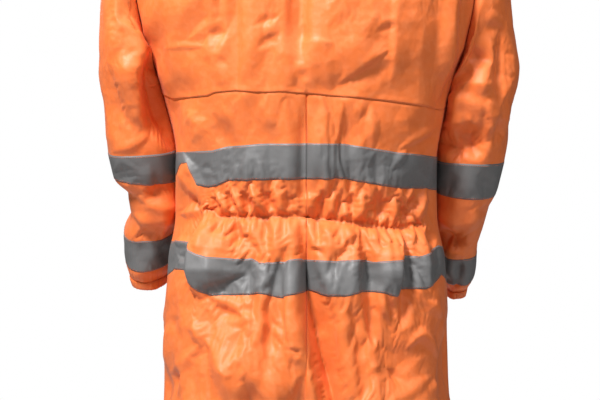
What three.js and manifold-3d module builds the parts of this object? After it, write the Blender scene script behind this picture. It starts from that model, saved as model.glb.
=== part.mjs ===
// Hi-vis coverall as it is worn, hollow and with nobody in it: thin coated cloth, reflective tape
// round the body and sleeves, a back waist gathered on elastic, a front zip.
// Millimetres, +Z up. The origin is midway between the two points where the neck edge meets the
// shoulder seams. The front faces -Y, so the wearer's left is +X; side is 1 on the left, -1 on the
// right.
import * as THREE from 'three';
import Module from 'manifold-3d';
import { mergeVertices } from 'three/addons/utils/BufferGeometryUtils.js';

// ---- Driving dimensions -----------------------------------------------------------------------
const CLOTH = 1.5;            // wall of the cloth panels
const TAPE = 1.0;             // wall of the reflective tape
const ELASTIC = 0.8;          // wall of the waist elastic
const GAP = 0.3;              // between neighbouring pieces
const BACK_COLUMNS = 14;      // cloth columns from the centre back to a side seam
const FRONT_COLUMNS = 6;      // from a side seam to the centre front
const ARMHOLE_ROWS = 7;       // from the armpit up to the shoulder point
const SHOULDER_ROWS = 3;      // from the shoulder point up to the neck
const SHOULDER = { x: 238, z: -62 };
const NECK = { half: 75, back: -15, front: -85 };      // half width, and its height behind, before
const ARMHOLE = { back: 64, front: 58, bulge: 8, round: 0.6 };
const ARMPIT = { '1': -250, '-1': -282 };              // the right shoulder hangs a little lower
const ARMPIT_CENTRE = { back: -268, front: -200 };     // where that cloth row crosses the centre
const COLLAR = { height: 45, lean: 0.1 };
const CROTCH = -830;
const ROUND = 0.86;           // power of the sine in every body section; 1 would be an ellipse
const ZIP_END = -705;         // lower end of the zip
const ZIP_SLOT = 4;           // front edges stop this far from the centre line over the zip
const GATHER = { above: 34, below: 46, deep: 5.5 };    // reach and depth of the waist gathers
const ELASTIC_SPAN = { left: 8, right: 10 };           // columns of the back that it draws in

// Zip, across the centre front (half widths) and outward from the middle of the cloth.
const ZIP = { tapeHalf: 9, tapeIn: -2.2, tapeOut: -1.45, chainHalf: 2.6, chainOut: 0.9 };
const SLIDER = { up: 0.72, length: 14, topHalf: 5, endHalf: 3.6, plate: 1.8, above: 0.3 };
const BRIDGE = { half: 1.5, window: 3.4, height: 2.6, wall: 1.3 };
const PULL = { half: 3.6, eyeHalf: 2.2, eye: 3.5, bar: 1.6, length: 27.8, thick: 1.4 };

// Body and leg sections: the outer edge, how far the legs have parted (centre of one leg's
// section over its half width: 0 one tube, 1 at the crotch), and the depths behind and before.
const BODY = [
  { z: 0, outer: 75, fork: 0, back: 72, front: 74 },
  { z: -62, outer: 238, fork: 0, back: 105, front: 88 },
  { z: -150, outer: 236, fork: 0, back: 133, front: 112 },
  { z: -200, outer: 231, fork: 0, back: 138, front: 122 },
  { z: -250, outer: 221, fork: 0, back: 138, front: 129 },
  { z: -319, outer: 199, fork: 0, back: 132, front: 132 },
  { z: -400, outer: 183, fork: 0, back: 125, front: 132 },
  { z: -480, outer: 184, fork: 0, back: 112, front: 129 },
  { z: -540, outer: 193, fork: 0, back: 131, front: 132 },
  { z: -600, outer: 197, fork: 0, back: 144, front: 134 },
  { z: -725, outer: 201, fork: 0.5, back: 150, front: 130 },
  { z: CROTCH, outer: 204, fork: 1, back: 146, front: 122 },
  { z: -850, outer: 204, fork: 1.07, back: 142, front: 119 },
  { z: -1130, outer: 205, fork: 1.15, back: 112, front: 104 },
  { z: -1570, outer: 198, fork: 1.48, back: 88, front: 86 },
];

// Cloth rows of the back and front panels: their height at the centre back, at the left and the
// right side seam, and at the centre front. The cloth rides up at the sides below the waist.
const ROWS = [
  { name: 'yoke_seam', back: -317, left: -312, right: -328, front: -322 },
  { name: 'chest', back: -350, left: -352, right: -362, front: -352 },
  { name: 'upper_tape_top', back: -383, left: -392, right: -398, front: -385 },
  { name: 'upper_tape_bottom', back: -433, left: -442, right: -448, front: -435 },
  { name: 'waist_top', back: -475, left: -467, right: -490, front: -476 },
  { name: 'waist_bottom', back: -485, left: -477, right: -500, front: -486 },
  { name: 'hip', back: -511, left: -497, right: -513, front: -511 },
  { name: 'lower_tape_top', back: -538, left: -519, right: -527, front: -538 },
  { name: 'lower_tape_bottom', back: -586, left: -567, right: -575, front: -586 },
  { name: 'seat_1', back: -622, left: -608, right: -612, front: -622 },
  { name: 'seat_2', back: -662, left: -655, right: -657, front: -662 },
  { name: 'seat_3', back: ZIP_END, left: ZIP_END, right: ZIP_END, front: ZIP_END },
  { name: 'seat_4', back: -750, left: -755, right: -755, front: -750 },
  { name: 'seat_5', back: -790, left: -800, right: -800, front: -790 },
  { name: 'seat_6', back: -815, left: -830, right: -830, front: -815 },
  { name: 'crotch', back: CROTCH, left: -862, right: -862, front: CROTCH },
  { name: 'thigh_1', back: -850, left: -892, right: -892, front: -850 },
  { name: 'thigh_2', back: -930, left: -950, right: -950, front: -930 },
  { name: 'knee', back: -1090, left: -1090, right: -1090, front: -1090 },
  { name: 'shin_1', back: -1250, left: -1250, right: -1250, front: -1250 },
  { name: 'shin_2', back: -1410, left: -1410, right: -1410, front: -1410 },
  { name: 'hem', back: -1570, left: -1570, right: -1570, front: -1570 },
];

// The largest folds: face is 1 on the back and -1 on the front, x is where the fold runs across
// the body at its top and bottom end, and a negative depth is a ridge.
const FOLDS = [
  { face: 1, top: -70, xTop: 9, bottom: -335, xBottom: 5, width: 14, depth: 9 },
  { face: 1, top: -60, xTop: 92, bottom: -340, xBottom: 94, width: 16, depth: 4 },
  { face: 1, top: -255, xTop: -118, bottom: -318, xBottom: -38, width: 13, depth: 5 },
  { face: 1, top: -350, xTop: -60, bottom: -460, xBottom: -46, width: 15, depth: 6 },
  { face: 1, top: -360, xTop: 60, bottom: -455, xBottom: 50, width: 15, depth: 6 },
  { face: 1, top: -345, xTop: 105, bottom: -470, xBottom: 120, width: 15, depth: -5 },
  { face: 1, top: -370, xTop: -150, bottom: -480, xBottom: -120, width: 18, depth: 6 },
  { face: 1, top: -486, xTop: 7, bottom: -800, xBottom: -30, width: 15, depth: 22 },
  { face: 1, top: -480, xTop: 143, bottom: -650, xBottom: 150, width: 14, depth: 14 },
  { face: 1, top: -486, xTop: -74, bottom: -640, xBottom: -92, width: 13, depth: 9 },
  { face: 1, top: -500, xTop: -124, bottom: -660, xBottom: -122, width: 12, depth: 9 },
  { face: 1, top: -600, xTop: 128, bottom: -790, xBottom: 84, width: 16, depth: -9 },
  { face: 1, top: -620, xTop: -110, bottom: -760, xBottom: -170, width: 16, depth: -6 },
  { face: 1, top: -850, xTop: 150, bottom: -1150, xBottom: 90, width: 18, depth: 7 },
  { face: 1, top: -880, xTop: -160, bottom: -1180, xBottom: -95, width: 18, depth: 7 },
  { face: -1, top: -230, xTop: 120, bottom: -470, xBottom: 80, width: 20, depth: 7 },
  { face: -1, top: -210, xTop: -130, bottom: -480, xBottom: -90, width: 20, depth: 7 },
  { face: -1, top: -470, xTop: 120, bottom: -720, xBottom: 140, width: 20, depth: 9 },
  { face: -1, top: -480, xTop: -110, bottom: -700, xBottom: -130, width: 20, depth: 9 },
  { face: -1, top: -850, xTop: 60, bottom: -1130, xBottom: 130, width: 20, depth: 7 },
  { face: -1, top: -860, xTop: -70, bottom: -1150, xBottom: -120, width: 20, depth: 7 },
];

// Rings of each sleeve: the edge away from the body and the edge beside it, where the ring's
// middle lies in depth, its depths behind and before it, and how far its front is tipped up.
const RING_COLUMNS = ['name', 'outX', 'outZ', 'inX', 'inZ', 'y', 'back', 'front', 'tilt'];
const ringTable = (rows) => rows.map((row) =>
  Object.fromEntries(row.map((value, column) => [RING_COLUMNS[column], value])));
const SLEEVE_RINGS = {
  '1': ringTable([
    ['armhole', 238, -62, 221, -250, 0, 64, 58, 0],
    ['cap_1', 262, -70, 224, -257, 0, 68, 64, 0],
    ['cap_2', 279, -98, 223, -263, -3, 72, 72, 0],
    ['cap_3', 287, -146, 220, -271, -6, 74, 82, 0],
    ['cap_4', 290, -200, 216, -283, -10, 74, 88, 0],
    ['upper_arm', 287, -262, 209, -302, -14, 72, 92, 0],
    ['above_elbow', 284, -334, 198, -342, -20, 70, 90, 4],
    ['upper_tape_top', 285, -401, 190, -396, -28, 68, 84, 10],
    ['upper_tape_bottom', 276, -438, 189, -441, -40, 64, 78, 14],
    ['elbow', 255, -460, 190, -466, -50, 60, 74, 17],
    ['forearm', 252, -490, 190, -492, -62, 58, 70, 19],
    ['lower_tape_top', 265, -524, 192, -514, -76, 57, 66, 20],
    ['lower_tape_bottom', 262, -563, 196, -558, -92, 53, 60, 20],
    ['hem', 258, -577, 200, -575, -98, 44, 50, 20],
    ['cuff_edge', 257, -588, 202, -587, -101, 42, 47, 20],
  ]),
  '-1': ringTable([
    ['armhole', 238, -62, 210, -282, 0, 64, 58, 0],
    ['cap_1', 262, -70, 214, -289, 0, 68, 64, 0],
    ['cap_2', 280, -100, 212, -295, -3, 72, 72, 0],
    ['cap_3', 290, -150, 210, -303, -6, 74, 82, 0],
    ['cap_4', 294, -205, 207, -313, -10, 74, 88, 0],
    ['upper_arm', 297, -270, 202, -328, -14, 72, 92, 0],
    ['above_elbow', 291, -335, 195, -356, -22, 70, 90, 4],
    ['upper_tape_top', 277, -411, 190, -410, -34, 68, 82, 10],
    ['upper_tape_bottom', 265, -459, 190, -455, -50, 64, 76, 14],
    ['elbow', 258, -480, 191, -478, -58, 61, 73, 17],
    ['forearm', 254, -512, 192, -508, -72, 59, 70, 19],
    ['lower_tape_top', 249, -547, 195, -544, -86, 58, 68, 20],
    ['lower_tape_bottom', 246, -583, 198, -584, -100, 54, 62, 20],
    ['hem', 243, -594, 201, -595, -105, 45, 51, 20],
    ['cuff_edge', 242, -604, 202, -605, -108, 43, 48, 20],
  ]),
};
const ARMHOLE_FADE = [1, 0.65, 0.3];      // how much of the armhole's own line the first rings keep

// The sleeves' largest folds: round is the angle from the underarm by way of the back.
const SLEEVE_FOLDS = [
  { side: 1, top: -255, roundTop: 60, bottom: -450, roundBottom: 48, width: 18, depth: 14 },
  { side: 1, top: -180, roundTop: 130, bottom: -300, roundBottom: 105, width: 18, depth: 7 },
  { side: 1, top: -452, roundTop: 120, bottom: -520, roundBottom: 60, width: 16, depth: 7 },
  { side: 1, top: -150, roundTop: 250, bottom: -420, roundBottom: 270, width: 20, depth: 8 },
  { side: -1, top: -300, roundTop: 150, bottom: -345, roundBottom: 60, width: 14, depth: 10 },
  { side: -1, top: -200, roundTop: 140, bottom: -300, roundBottom: 125, width: 16, depth: 8 },
  { side: -1, top: -470, roundTop: 70, bottom: -530, roundBottom: 110, width: 16, depth: 7 },
  { side: -1, top: -150, roundTop: 255, bottom: -430, roundBottom: 275, width: 20, depth: 8 },
];

// Gathers across the back waist: x from the centre back, half width and depth over GATHER.deep.
const GATHERS = [
  { x: 138, width: 7, depth: 1 }, { x: 112, width: 8, depth: 0.8 }, { x: 88, width: 9, depth: 1.1 },
  { x: 62, width: 8, depth: 0.9 }, { x: 36, width: 7, depth: 0.8 }, { x: 10, width: 7, depth: 0.7 },
  { x: -16, width: 7, depth: 0.8 }, { x: -44, width: 8, depth: 0.7 }, { x: -70, width: 8, depth: 1.2 },
  { x: -96, width: 7, depth: 0.9 }, { x: -122, width: 8, depth: 1 }, { x: -148, width: 8, depth: 0.8 },
];

const LOOKS = {
  shell: new THREE.MeshStandardMaterial({ color: 0xf0733c, roughness: 0.5, metalness: 0 }),
  tape: new THREE.MeshStandardMaterial({ color: 0x85878a, roughness: 0.45, metalness: 0.3 }),
  elastic: new THREE.MeshStandardMaterial({ color: 0xe9e6df, roughness: 0.9, metalness: 0 }),
  zip: new THREE.MeshStandardMaterial({ color: 0xd9622c, roughness: 0.6, metalness: 0 }),
  slider: new THREE.MeshStandardMaterial({ color: 0xb9bcc0, roughness: 0.35, metalness: 0.9 }),
};

// ---- Small helpers ----------------------------------------------------------------------------
const { lerp, clamp, degToRad, smoothstep } = THREE.MathUtils;
const power = (value, p) => Math.sign(value) * Math.abs(value) ** p;
const vec = (x, y, z) => new THREE.Vector3(x, y, z);
const range = (count, make) => Array.from({ length: count }, (_, index) => make(index));
const rowIndex = (name) => ROWS.findIndex((row) => row.name === name);

// Monotone cubic through a table sorted by falling z: the named column at height z.
function column(table, name, z) {
  const last = table.length - 1;
  if (z >= table[0].z) return table[0][name];
  if (z <= table[last].z) return table[last][name];
  const slope = (i) => (table[i + 1][name] - table[i][name]) / (table[i + 1].z - table[i].z);
  const tangent = (i) => {
    if (i === 0 || i === last) return slope(Math.min(i, last - 1));
    const [before, after] = [slope(i - 1), slope(i)];
    return before * after <= 0 ? 0 : 2 * before * after / (before + after);
  };
  const i = table.findIndex((row) => row.z < z) - 1;
  const step = table[i + 1].z - table[i].z;
  const t = (z - table[i].z) / step;
  return table[i][name] * (1 + 2 * t) * (1 - t) ** 2 + table[i + 1][name] * t * t * (3 - 2 * t)
    + step * (tangent(i) * t * (1 - t) ** 2 - tangent(i + 1) * t * t * (1 - t));
}

// ---- Form of the body -------------------------------------------------------------------------
// The armhole line: t is 0 at the armpit and 1 at the shoulder point, face 1 behind, -1 before.
function armhole(side, face, t) {
  const swell = Math.sin(Math.PI * clamp(t, 0, 1));
  const armpitX = column(BODY, 'outer', ARMPIT[side]);
  return {
    x: lerp(armpitX, SHOULDER.x, t) + ARMHOLE.bulge * swell,
    y: (face > 0 ? ARMHOLE.back : ARMHOLE.front) * swell ** ARMHOLE.round,
    z: lerp(ARMPIT[side], SHOULDER.z, t),
  };
}

// One body section at height z: half width, depth, centre, and the angles of its two edges. The
// first edge is the centre line or the inseam, the second the side seam, armhole or shoulder seam.
function section(side, face, z) {
  const depth = column(BODY, face > 0 ? 'back' : 'front', z);
  if (z > SHOULDER.z) {
    const half = lerp(SHOULDER.x, NECK.half, (z - SHOULDER.z) / -SHOULDER.z);
    return { half, depth, centre: 0, inner: 0, outer: Math.PI / 2 };
  }
  if (z > ARMPIT[side]) {
    const edge = armhole(side, face, (z - ARMPIT[side]) / (SHOULDER.z - ARMPIT[side]));
    const outer = Math.acos(clamp((edge.y / depth) ** (1 / ROUND), 0, 1));
    return { half: edge.x / Math.sin(outer) ** ROUND, depth, centre: 0, inner: 0, outer };
  }
  const fork = column(BODY, 'fork', z);
  const half = column(BODY, 'outer', z) / (1 + fork);
  const inner = -Math.asin(clamp(fork ** (1 / ROUND), 0, 1));
  return { half, depth, centre: half * fork, inner, outer: Math.PI / 2 };
}

// How far the folds and the waist gathers press the cloth in at a point of the smooth form.
function foldDepth(x, face, z, facing) {
  let depth = 0;
  for (const fold of FOLDS) {
    if (fold.face !== face) continue;
    const along = (z - fold.top) / (fold.bottom - fold.top);
    const across = (x - lerp(fold.xTop, fold.xBottom, along)) / fold.width;
    const ends = smoothstep(along, 0, 0.12) * smoothstep(1 - along, 0, 0.25);
    depth += fold.depth * ends * Math.exp(-across * across);
  }
  if (face > 0) {
    const waist = lerp(-480, -472, clamp(x / 140, 0, 1)) - 15 * smoothstep(-x, 0, 150);
    const reach = z > waist ? GATHER.above : GATHER.below;
    const near = Math.max(0, 1 - Math.abs(z - waist) / reach);
    for (const gather of GATHERS) {
      const across = (x - gather.x) / gather.width;
      depth += GATHER.deep * gather.depth * near * Math.exp(-across * across);
    }
  }
  return depth * facing;
}

// Middle of the cloth at share s of a quarter section (0 at the centre line or inseam, 1 at the
// side): a sine and a cosine raised to ROUND, then pressed in along the section's own normal.
function bodyPoint(side, face, s, z) {
  const cut = section(side, face, z);
  const angle = lerp(cut.inner, cut.outer, s);
  const sine = power(Math.sin(angle), ROUND);
  const cosine = Math.max(0, Math.cos(angle)) ** ROUND;
  const x = cut.centre + cut.half * sine;
  const steep = 2 / ROUND - 1;
  const normal = new THREE.Vector2(power(sine, steep) / cut.half, cosine ** steep / cut.depth).normalize();
  const facing = smoothstep(normal.y, 0.1, 0.55);
  const press = foldDepth(side * x, face, z, facing);
  const slot = face < 0 && z >= ZIP_END ? ZIP_SLOT : 0;
  const onCentreLine = s === 0 && z >= CROTCH;
  return vec(side * (onCentreLine ? slot : Math.max(x - press * normal.x, slot)),
    face * (cut.depth * cosine - press * normal.y), z);
}

// Height of a cloth row at share s from the centre line to the side seam.
function rowHeight(row, side, face, s) {
  const centre = face > 0 ? row.back : row.front;
  return lerp(centre, side > 0 ? row.left : row.right, s * s * (3 - 2 * s));
}

// ---- Cloth grids: rows from the top down, points on the middle of the cloth --------------------
// The part above the armpit is bounded by the neck edge, the centre line, the row through the
// armpit, and the armhole with the shoulder seam. Rows and columns are blended between those four
// edges in the form's own two coordinates, share s and height z.
function upperGrid(side, face, columns) {
  const rows = ARMHOLE_ROWS + SHOULDER_ROWS;
  const centreBottom = face > 0 ? ARMPIT_CENTRE.back : ARMPIT_CENTRE.front;
  const centreTop = face > 0 ? NECK.back : NECK.front;
  const low = { back: centreBottom, front: centreBottom, left: ARMPIT['1'], right: ARMPIT['-1'] };
  const neck = (share) => {
    const turn = share * Math.PI / 2;
    const z = centreTop * Math.cos(turn) ** 2;
    const cut = section(side, face, z);
    const angle = Math.asin(clamp((NECK.half * Math.sin(turn) / cut.half) ** (1 / ROUND), 0, 1));
    return { s: angle / cut.outer, z };
  };
  const edge = (row) => (row <= ARMHOLE_ROWS
    ? lerp(ARMPIT[side], SHOULDER.z, (1 - Math.cos(Math.PI * row / ARMHOLE_ROWS)) / 2)
    : lerp(SHOULDER.z, 0, (row - ARMHOLE_ROWS) / SHOULDER_ROWS));
  return range(rows + 1, (index) => {
    const row = rows - index;
    const up = row / rows;
    return range(columns + 1, (i) => {
      const share = i / columns;
      const top = neck(share);
      const sideways = share * (edge(row) - lerp(ARMPIT[side], 0, up));
      const z = lerp(rowHeight(low, side, face, share), top.z, up) + sideways;
      return bodyPoint(side, face, lerp(share, top.s, up), i === columns ? edge(row) : z);
    });
  });
}

function lowerGrid(side, face, columns, rows) {
  return rows.map((row) => range(columns + 1, (i) => {
    const s = i / columns;
    return bodyPoint(side, face, s, rowHeight(row, side, face, s));
  }));
}

// Rows between the armpit and the yoke seam, worked out as the seam raised towards the armpit.
function underarmRows(face) {
  const seam = ROWS[0];
  const centre = face > 0 ? ARMPIT_CENTRE.back : ARMPIT_CENTRE.front;
  const armpit = { back: centre, front: centre, left: ARMPIT['1'], right: ARMPIT['-1'] };
  const shares = face > 0 ? [0.5] : [0.33, 0.67];
  return shares.map((share) => Object.fromEntries(['back', 'front', 'left', 'right']
    .map((key) => [key, lerp(armpit[key], seam[key], share)])));
}

const mirrorRow = (row) => [...row].reverse();
const fromSide = (grid) => grid.map(mirrorRow);      // first column at the side instead of the centre

function yokeGrid() {
  const half = (side) => [...upperGrid(side, 1, BACK_COLUMNS),
    ...lowerGrid(side, 1, BACK_COLUMNS, [...underarmRows(1), ROWS[0]])];
  const [left, right] = [half(1), half(-1)];
  return left.map((row, i) => [...mirrorRow(right[i]), ...row.slice(1)]);
}

const backGrid = (side) => lowerGrid(side, 1, BACK_COLUMNS, ROWS);

// The side seam of a front panel follows the yoke's side, so its rows there match the yoke's.
function frontGrid(side) {
  const upper = upperGrid(side, -1, FRONT_COLUMNS);
  const between = lerp(ARMPIT[side], side > 0 ? ROWS[0].left : ROWS[0].right, 0.5);
  const middle = { front: lerp(ARMPIT_CENTRE.front, ROWS[0].front, 0.5), left: between, right: between };
  return fromSide([...upper, ...lowerGrid(side, -1, FRONT_COLUMNS, [middle, ...ROWS])]);
}

// ---- Sleeves ----------------------------------------------------------------------------------
const SLEEVE_COLUMNS = 2 * ARMHOLE_ROWS;

function sleeveFold(side, z, turn, radius) {
  let depth = 0;
  for (const fold of SLEEVE_FOLDS) {
    if (fold.side !== side) continue;
    const along = (z - fold.top) / (fold.bottom - fold.top);
    const round = degToRad(lerp(fold.roundTop, fold.roundBottom, along));
    const across = (turn - round) * radius / fold.width;
    const ends = smoothstep(along, 0, 0.2) * smoothstep(1 - along, 0, 0.2);
    depth += fold.depth * ends * Math.exp(-across * across);
  }
  return depth;
}

// A ring is an oval between its two edges: the cosine runs from the body side to the outer side,
// the sine gives the depth, and its front is tipped up by tilt.
function ringPoint(side, ring, turn) {
  const cosine = power(Math.cos(turn), ROUND);
  const sine = power(Math.sin(turn), ROUND);
  const deep = sine > 0 ? ring.back : ring.front;
  const half = (ring.outX - ring.inX) / 2;
  const press = sleeveFold(side, ring.outZ, turn, deep) / Math.max(half, deep);
  const x = (ring.outX + ring.inX) / 2 - half * cosine * (1 - press);
  const rise = Math.tan(degToRad(ring.tilt)) * (ring.back - deep * sine);
  return vec(side * x, ring.y + deep * sine * (1 - press),
    lerp(ring.inZ, ring.outZ, (1 - cosine) / 2) + rise);
}

function sleeveGrid(side) {
  const turns = range(SLEEVE_COLUMNS, (j) => 2 * Math.PI * j / SLEEVE_COLUMNS);
  const line = range(SLEEVE_COLUMNS, (j) => {
    const behind = j <= ARMHOLE_ROWS;
    const row = behind ? j : SLEEVE_COLUMNS - j;
    const z = lerp(ARMPIT[side], SHOULDER.z, (1 - Math.cos(Math.PI * row / ARMHOLE_ROWS)) / 2);
    return bodyPoint(side, behind ? 1 : -1, 1, row === 0 ? ARMPIT[side] : z);
  });
  const rings = SLEEVE_RINGS[side];
  return rings.map((ring, k) => turns.map((turn, j) => {
    const plain = ringPoint(side, ring, turn);
    const keep = ARMHOLE_FADE[k] ?? 0;
    return plain.addScaledVector(line[j].clone().sub(ringPoint(side, rings[0], turn)), keep);
  }));
}

// ---- Collar: a low stand on the neck edge, from the right front round the back to the left -----
function collarGrid(yoke, fronts) {
  const neck = [...mirrorRow(fronts['-1'][0]), ...yoke[0].slice(1, -1), ...fronts['1'][0]];
  return [1, 0.5, 0].map((share) => neck.map((point) => vec(
    Math.abs(point.x) < ZIP_SLOT + 1 ? point.x : point.x * (1 - COLLAR.lean * share),
    point.y * (1 - COLLAR.lean * share), point.z + COLLAR.height * share)));
}

// ---- Walls: every cloth piece is its grid moved both ways along shared normals ------------------
const normals = new Map();
const key = (point) => point.toArray().map((value) => Math.round(value * 100) + 0).join();

function faceNormals(grid, { closed = false, flip = false }, visit) {
  const columns = grid[0].length;
  for (let i = 0; i < grid.length - 1; i += 1) {
    for (let j = 0; j < (closed ? columns : columns - 1); j += 1) {
      const next = (j + 1) % columns;
      const [a, b, c, d] = [grid[i][j], grid[i][next], grid[i + 1][next], grid[i + 1][j]];
      const normal = c.clone().sub(a).cross(b.clone().sub(d)).multiplyScalar(flip ? 1 : -1);
      visit(normal, [[i, j, a], [i, next, b], [i + 1, next, c], [i + 1, j, d]]);
    }
  }
}

function share(grid, options) {
  faceNormals(grid, options, (normal, corners) => corners.forEach(([, , point]) => {
    const sum = normals.get(key(point)) ?? vec(0, 0, 0);
    normals.set(key(point), sum.add(normal));
  }));
}

function localNormals(grid, options) {
  const own = grid.map((row) => row.map(() => vec(0, 0, 0)));
  faceNormals(grid, options, (normal, corners) => corners.forEach(([i, j]) => own[i][j].add(normal)));
  return own;
}

// Moves an edge point half a gap away from the plane in which it meets its neighbour: across the
// seam's direction and the shared normal, towards the inside of its own piece.
function seamShift(grid, normal, i, j, closed) {
  const columns = grid[0].length;
  const point = grid[i][j];
  const at = (row, column) => grid[row]?.[closed ? (column + columns) % columns : column];
  const across = [];
  const seam = (neighbour, inside) => {
    if (!neighbour || neighbour.distanceTo(point) < GAP) return;
    const away = neighbour.clone().sub(point).cross(normal).normalize();
    across.push(inside.clone().sub(point).dot(away) < 0 ? away.negate() : away);
  };
  if (i === 0 || i === grid.length - 1) {
    const inside = at(i === 0 ? 1 : i - 1, j);
    [j - 1, j + 1].forEach((column) => seam(at(i, column), inside));
  }
  if (!closed && (j === 0 || j === columns - 1)) {
    const inside = at(i, j === 0 ? 1 : j - 1);
    [i - 1, i + 1].forEach((row) => seam(at(row, j), inside));
  }
  const shift = vec(0, 0, 0);
  for (let pass = 0; pass < 6; pass += 1) {
    across.forEach((away) => shift.addScaledVector(away, Math.max(0, GAP / 2 - shift.dot(away))));
  }
  return shift.clampLength(0, GAP);
}

function sheet(name, look, grid, { wall = CLOTH, lift = 0, closed = false, flip = false } = {}) {
  const own = localNormals(grid, { closed, flip });
  const hand = flip ? -1 : 1;
  const columns = grid[0].length;
  const count = grid.length * columns;
  const layers = [lift + wall / 2, lift - wall / 2].map((away) => grid.flatMap((row, i) =>
    row.map((point, j) => {
      const normal = normals.get(key(point)).clone().normalize();
      const mitre = 1 / clamp(normal.dot(own[i][j].clone().normalize()), 0.6, 1);
      const moved = point.clone().addScaledVector(normal, away * mitre);
      moved.add(seamShift(grid, normal, i, j, closed));
      const onCentre = Math.abs(point.x) < 1e-6 && !closed && (j === 0 || j === columns - 1);
      if (onCentre) moved.x = hand * Math.max(GAP / 2, hand * moved.x);
      return moved;
    })));
  const index = [];
  const quad = (a, b, c, d) => index.push(...(flip ? [a, c, b, a, d, c] : [a, b, c, a, c, d]));
  const at = (layer, i, j) => layer * count + i * columns + (j % columns);
  for (let i = 0; i < grid.length - 1; i += 1) {
    for (let j = 0; j < (closed ? columns : columns - 1); j += 1) {
      // Quads are split alike on both layers, and as mirror images on the two sides of the body.
      const outside = [at(0, i, j), at(0, i, j + 1), at(0, i + 1, j + 1), at(0, i + 1, j)];
      const inside = [at(1, i, j), at(1, i + 1, j), at(1, i + 1, j + 1), at(1, i, j + 1)];
      const mirrored = !flip && grid[i][j].x + grid[i][(j + 1) % columns].x < 0;
      const turn = ([a, b, c, d]) => (mirrored ? [b, c, d, a] : [a, b, c, d]);
      quad(...turn(outside));
      quad(...turn(inside));
    }
  }
  // Two pieces that share a seam split the quads of their rims the same way.
  const rim = (i, j, k, l) => {
    const [outerA, outerB, innerB, innerA] = [at(0, i, j), at(0, k, l), at(1, k, l), at(1, i, j)];
    const near = key(grid[i][j % columns]) < key(grid[k][l % columns]);
    if (near) quad(innerB, innerA, outerA, outerB);
    else quad(innerA, outerA, outerB, innerB);
  };
  const last = grid.length - 1;
  for (let j = 0; j < (closed ? columns : columns - 1); j += 1) {
    rim(0, j + 1, 0, j);
    rim(last, j, last, j + 1);
  }
  for (let i = 0; i < last && !closed; i += 1) {
    rim(i, 0, i + 1, 0);
    rim(i + 1, columns - 1, i, columns - 1);
  }
  const geometry = new THREE.BufferGeometry();
  const position = layers.flat().flatMap((point) => point.toArray());
  geometry.setAttribute('position', new THREE.Float32BufferAttribute(position, 3));
  geometry.setIndex(index);
  geometry.computeVertexNormals();
  return solid(name, look, geometry);
}

function solid(name, look, geometry) {
  const mesh = new THREE.Mesh(geometry, LOOKS[look]);
  mesh.name = name;
  return mesh;
}

// ---- Zip: a closed chain on its tape, a slider with a bridge, and a pull tab in the bridge -------
// The centre front line from the top of the collar down to the end of the zip.
function frontLine(collarRows, front) {
  const end = rowIndex('seat_3') + front.length - ROWS.length;
  const down = [...collarRows.map((row) => row[row.length - 1]),
    ...front.slice(1, end + 1).map((row) => row[row.length - 1])];
  return down.map((point) => vec(0, point.y, point.z));
}

// A closed outline in (across, outward) carried along a line in the plane x = 0.
function sweep(line, outline) {
  const rings = line.map((point, i) => {
    const before = line[Math.max(i - 1, 0)];
    const after = line[Math.min(i + 1, line.length - 1)];
    const down = after.clone().sub(before).normalize();
    const out = vec(0, down.z, -down.y);
    return outline.map(([across, away]) => vec(across, point.y + out.y * away, point.z + out.z * away));
  });
  const size = outline.length;
  const index = THREE.ShapeUtils.triangulateShape(outline.map(([x, y]) => new THREE.Vector2(x, y)), [])
    .flatMap(([a, b, c]) => [c, b, a, ...[a, b, c].map((k) => k + size * (line.length - 1))]);
  for (let i = 0; i < line.length - 1; i += 1) {
    for (let j = 0; j < size; j += 1) {
      const [a, b] = [i * size + j, i * size + (j + 1) % size];
      index.push(a, b, b + size, a, b + size, a + size);
    }
  }
  const geometry = new THREE.BufferGeometry();
  const corners = rings.flat().flatMap((point) => point.toArray());
  geometry.setAttribute('position', new THREE.Float32BufferAttribute(corners, 3));
  geometry.setIndex(index);
  return geometry;
}

function zipOutline() {
  const { tapeHalf, tapeIn, tapeOut, chainHalf, chainOut } = ZIP;
  return [[-tapeHalf, tapeIn], [tapeHalf, tapeIn], [tapeHalf, tapeOut], [chainHalf, tapeOut],
    [chainHalf, chainOut], [-chainHalf, chainOut], [-chainHalf, tapeOut], [-tapeHalf, tapeOut]];
}

function polygon(points) {
  return new THREE.Shape(points.map(([x, y]) => new THREE.Vector2(x, y)));
}

const rectangle = (x0, y0, x1, y1) => [[x0, y0], [x1, y0], [x1, y1], [x0, y1]];

function extrude(shape, depth) {
  return new THREE.ExtrudeGeometry(shape, { depth, bevelEnabled: false });
}

const wasm = await Module();
wasm.setup();

// A closed geometry as a manifold-3d solid, and back.
function toManifold(geometry) {
  const bare = geometry.clone();
  bare.deleteAttribute('normal');
  bare.deleteAttribute('uv');
  const merged = mergeVertices(bare, 1e-4);
  return new wasm.Manifold(new wasm.Mesh({
    numProp: 3,
    vertProperties: new Float32Array(merged.attributes.position.array),
    triVerts: new Uint32Array(merged.index.array),
  }));
}

function fromManifold(body) {
  const mesh = body.getMesh();
  const geometry = new THREE.BufferGeometry();
  geometry.setAttribute('position', new THREE.Float32BufferAttribute(mesh.vertProperties, 3));
  geometry.setIndex([...mesh.triVerts]);
  return geometry;
}

// Slider in its own frame: x across, y up the zip, z outward from the middle of the cloth. The
// bridge is an arch over a window, through which the cross bar of the pull tab passes.
const PLATE_IN = ZIP.chainOut + SLIDER.above;
const PLATE_OUT = PLATE_IN + SLIDER.plate;
const PIVOT = PLATE_OUT + BRIDGE.height / 2;

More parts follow.
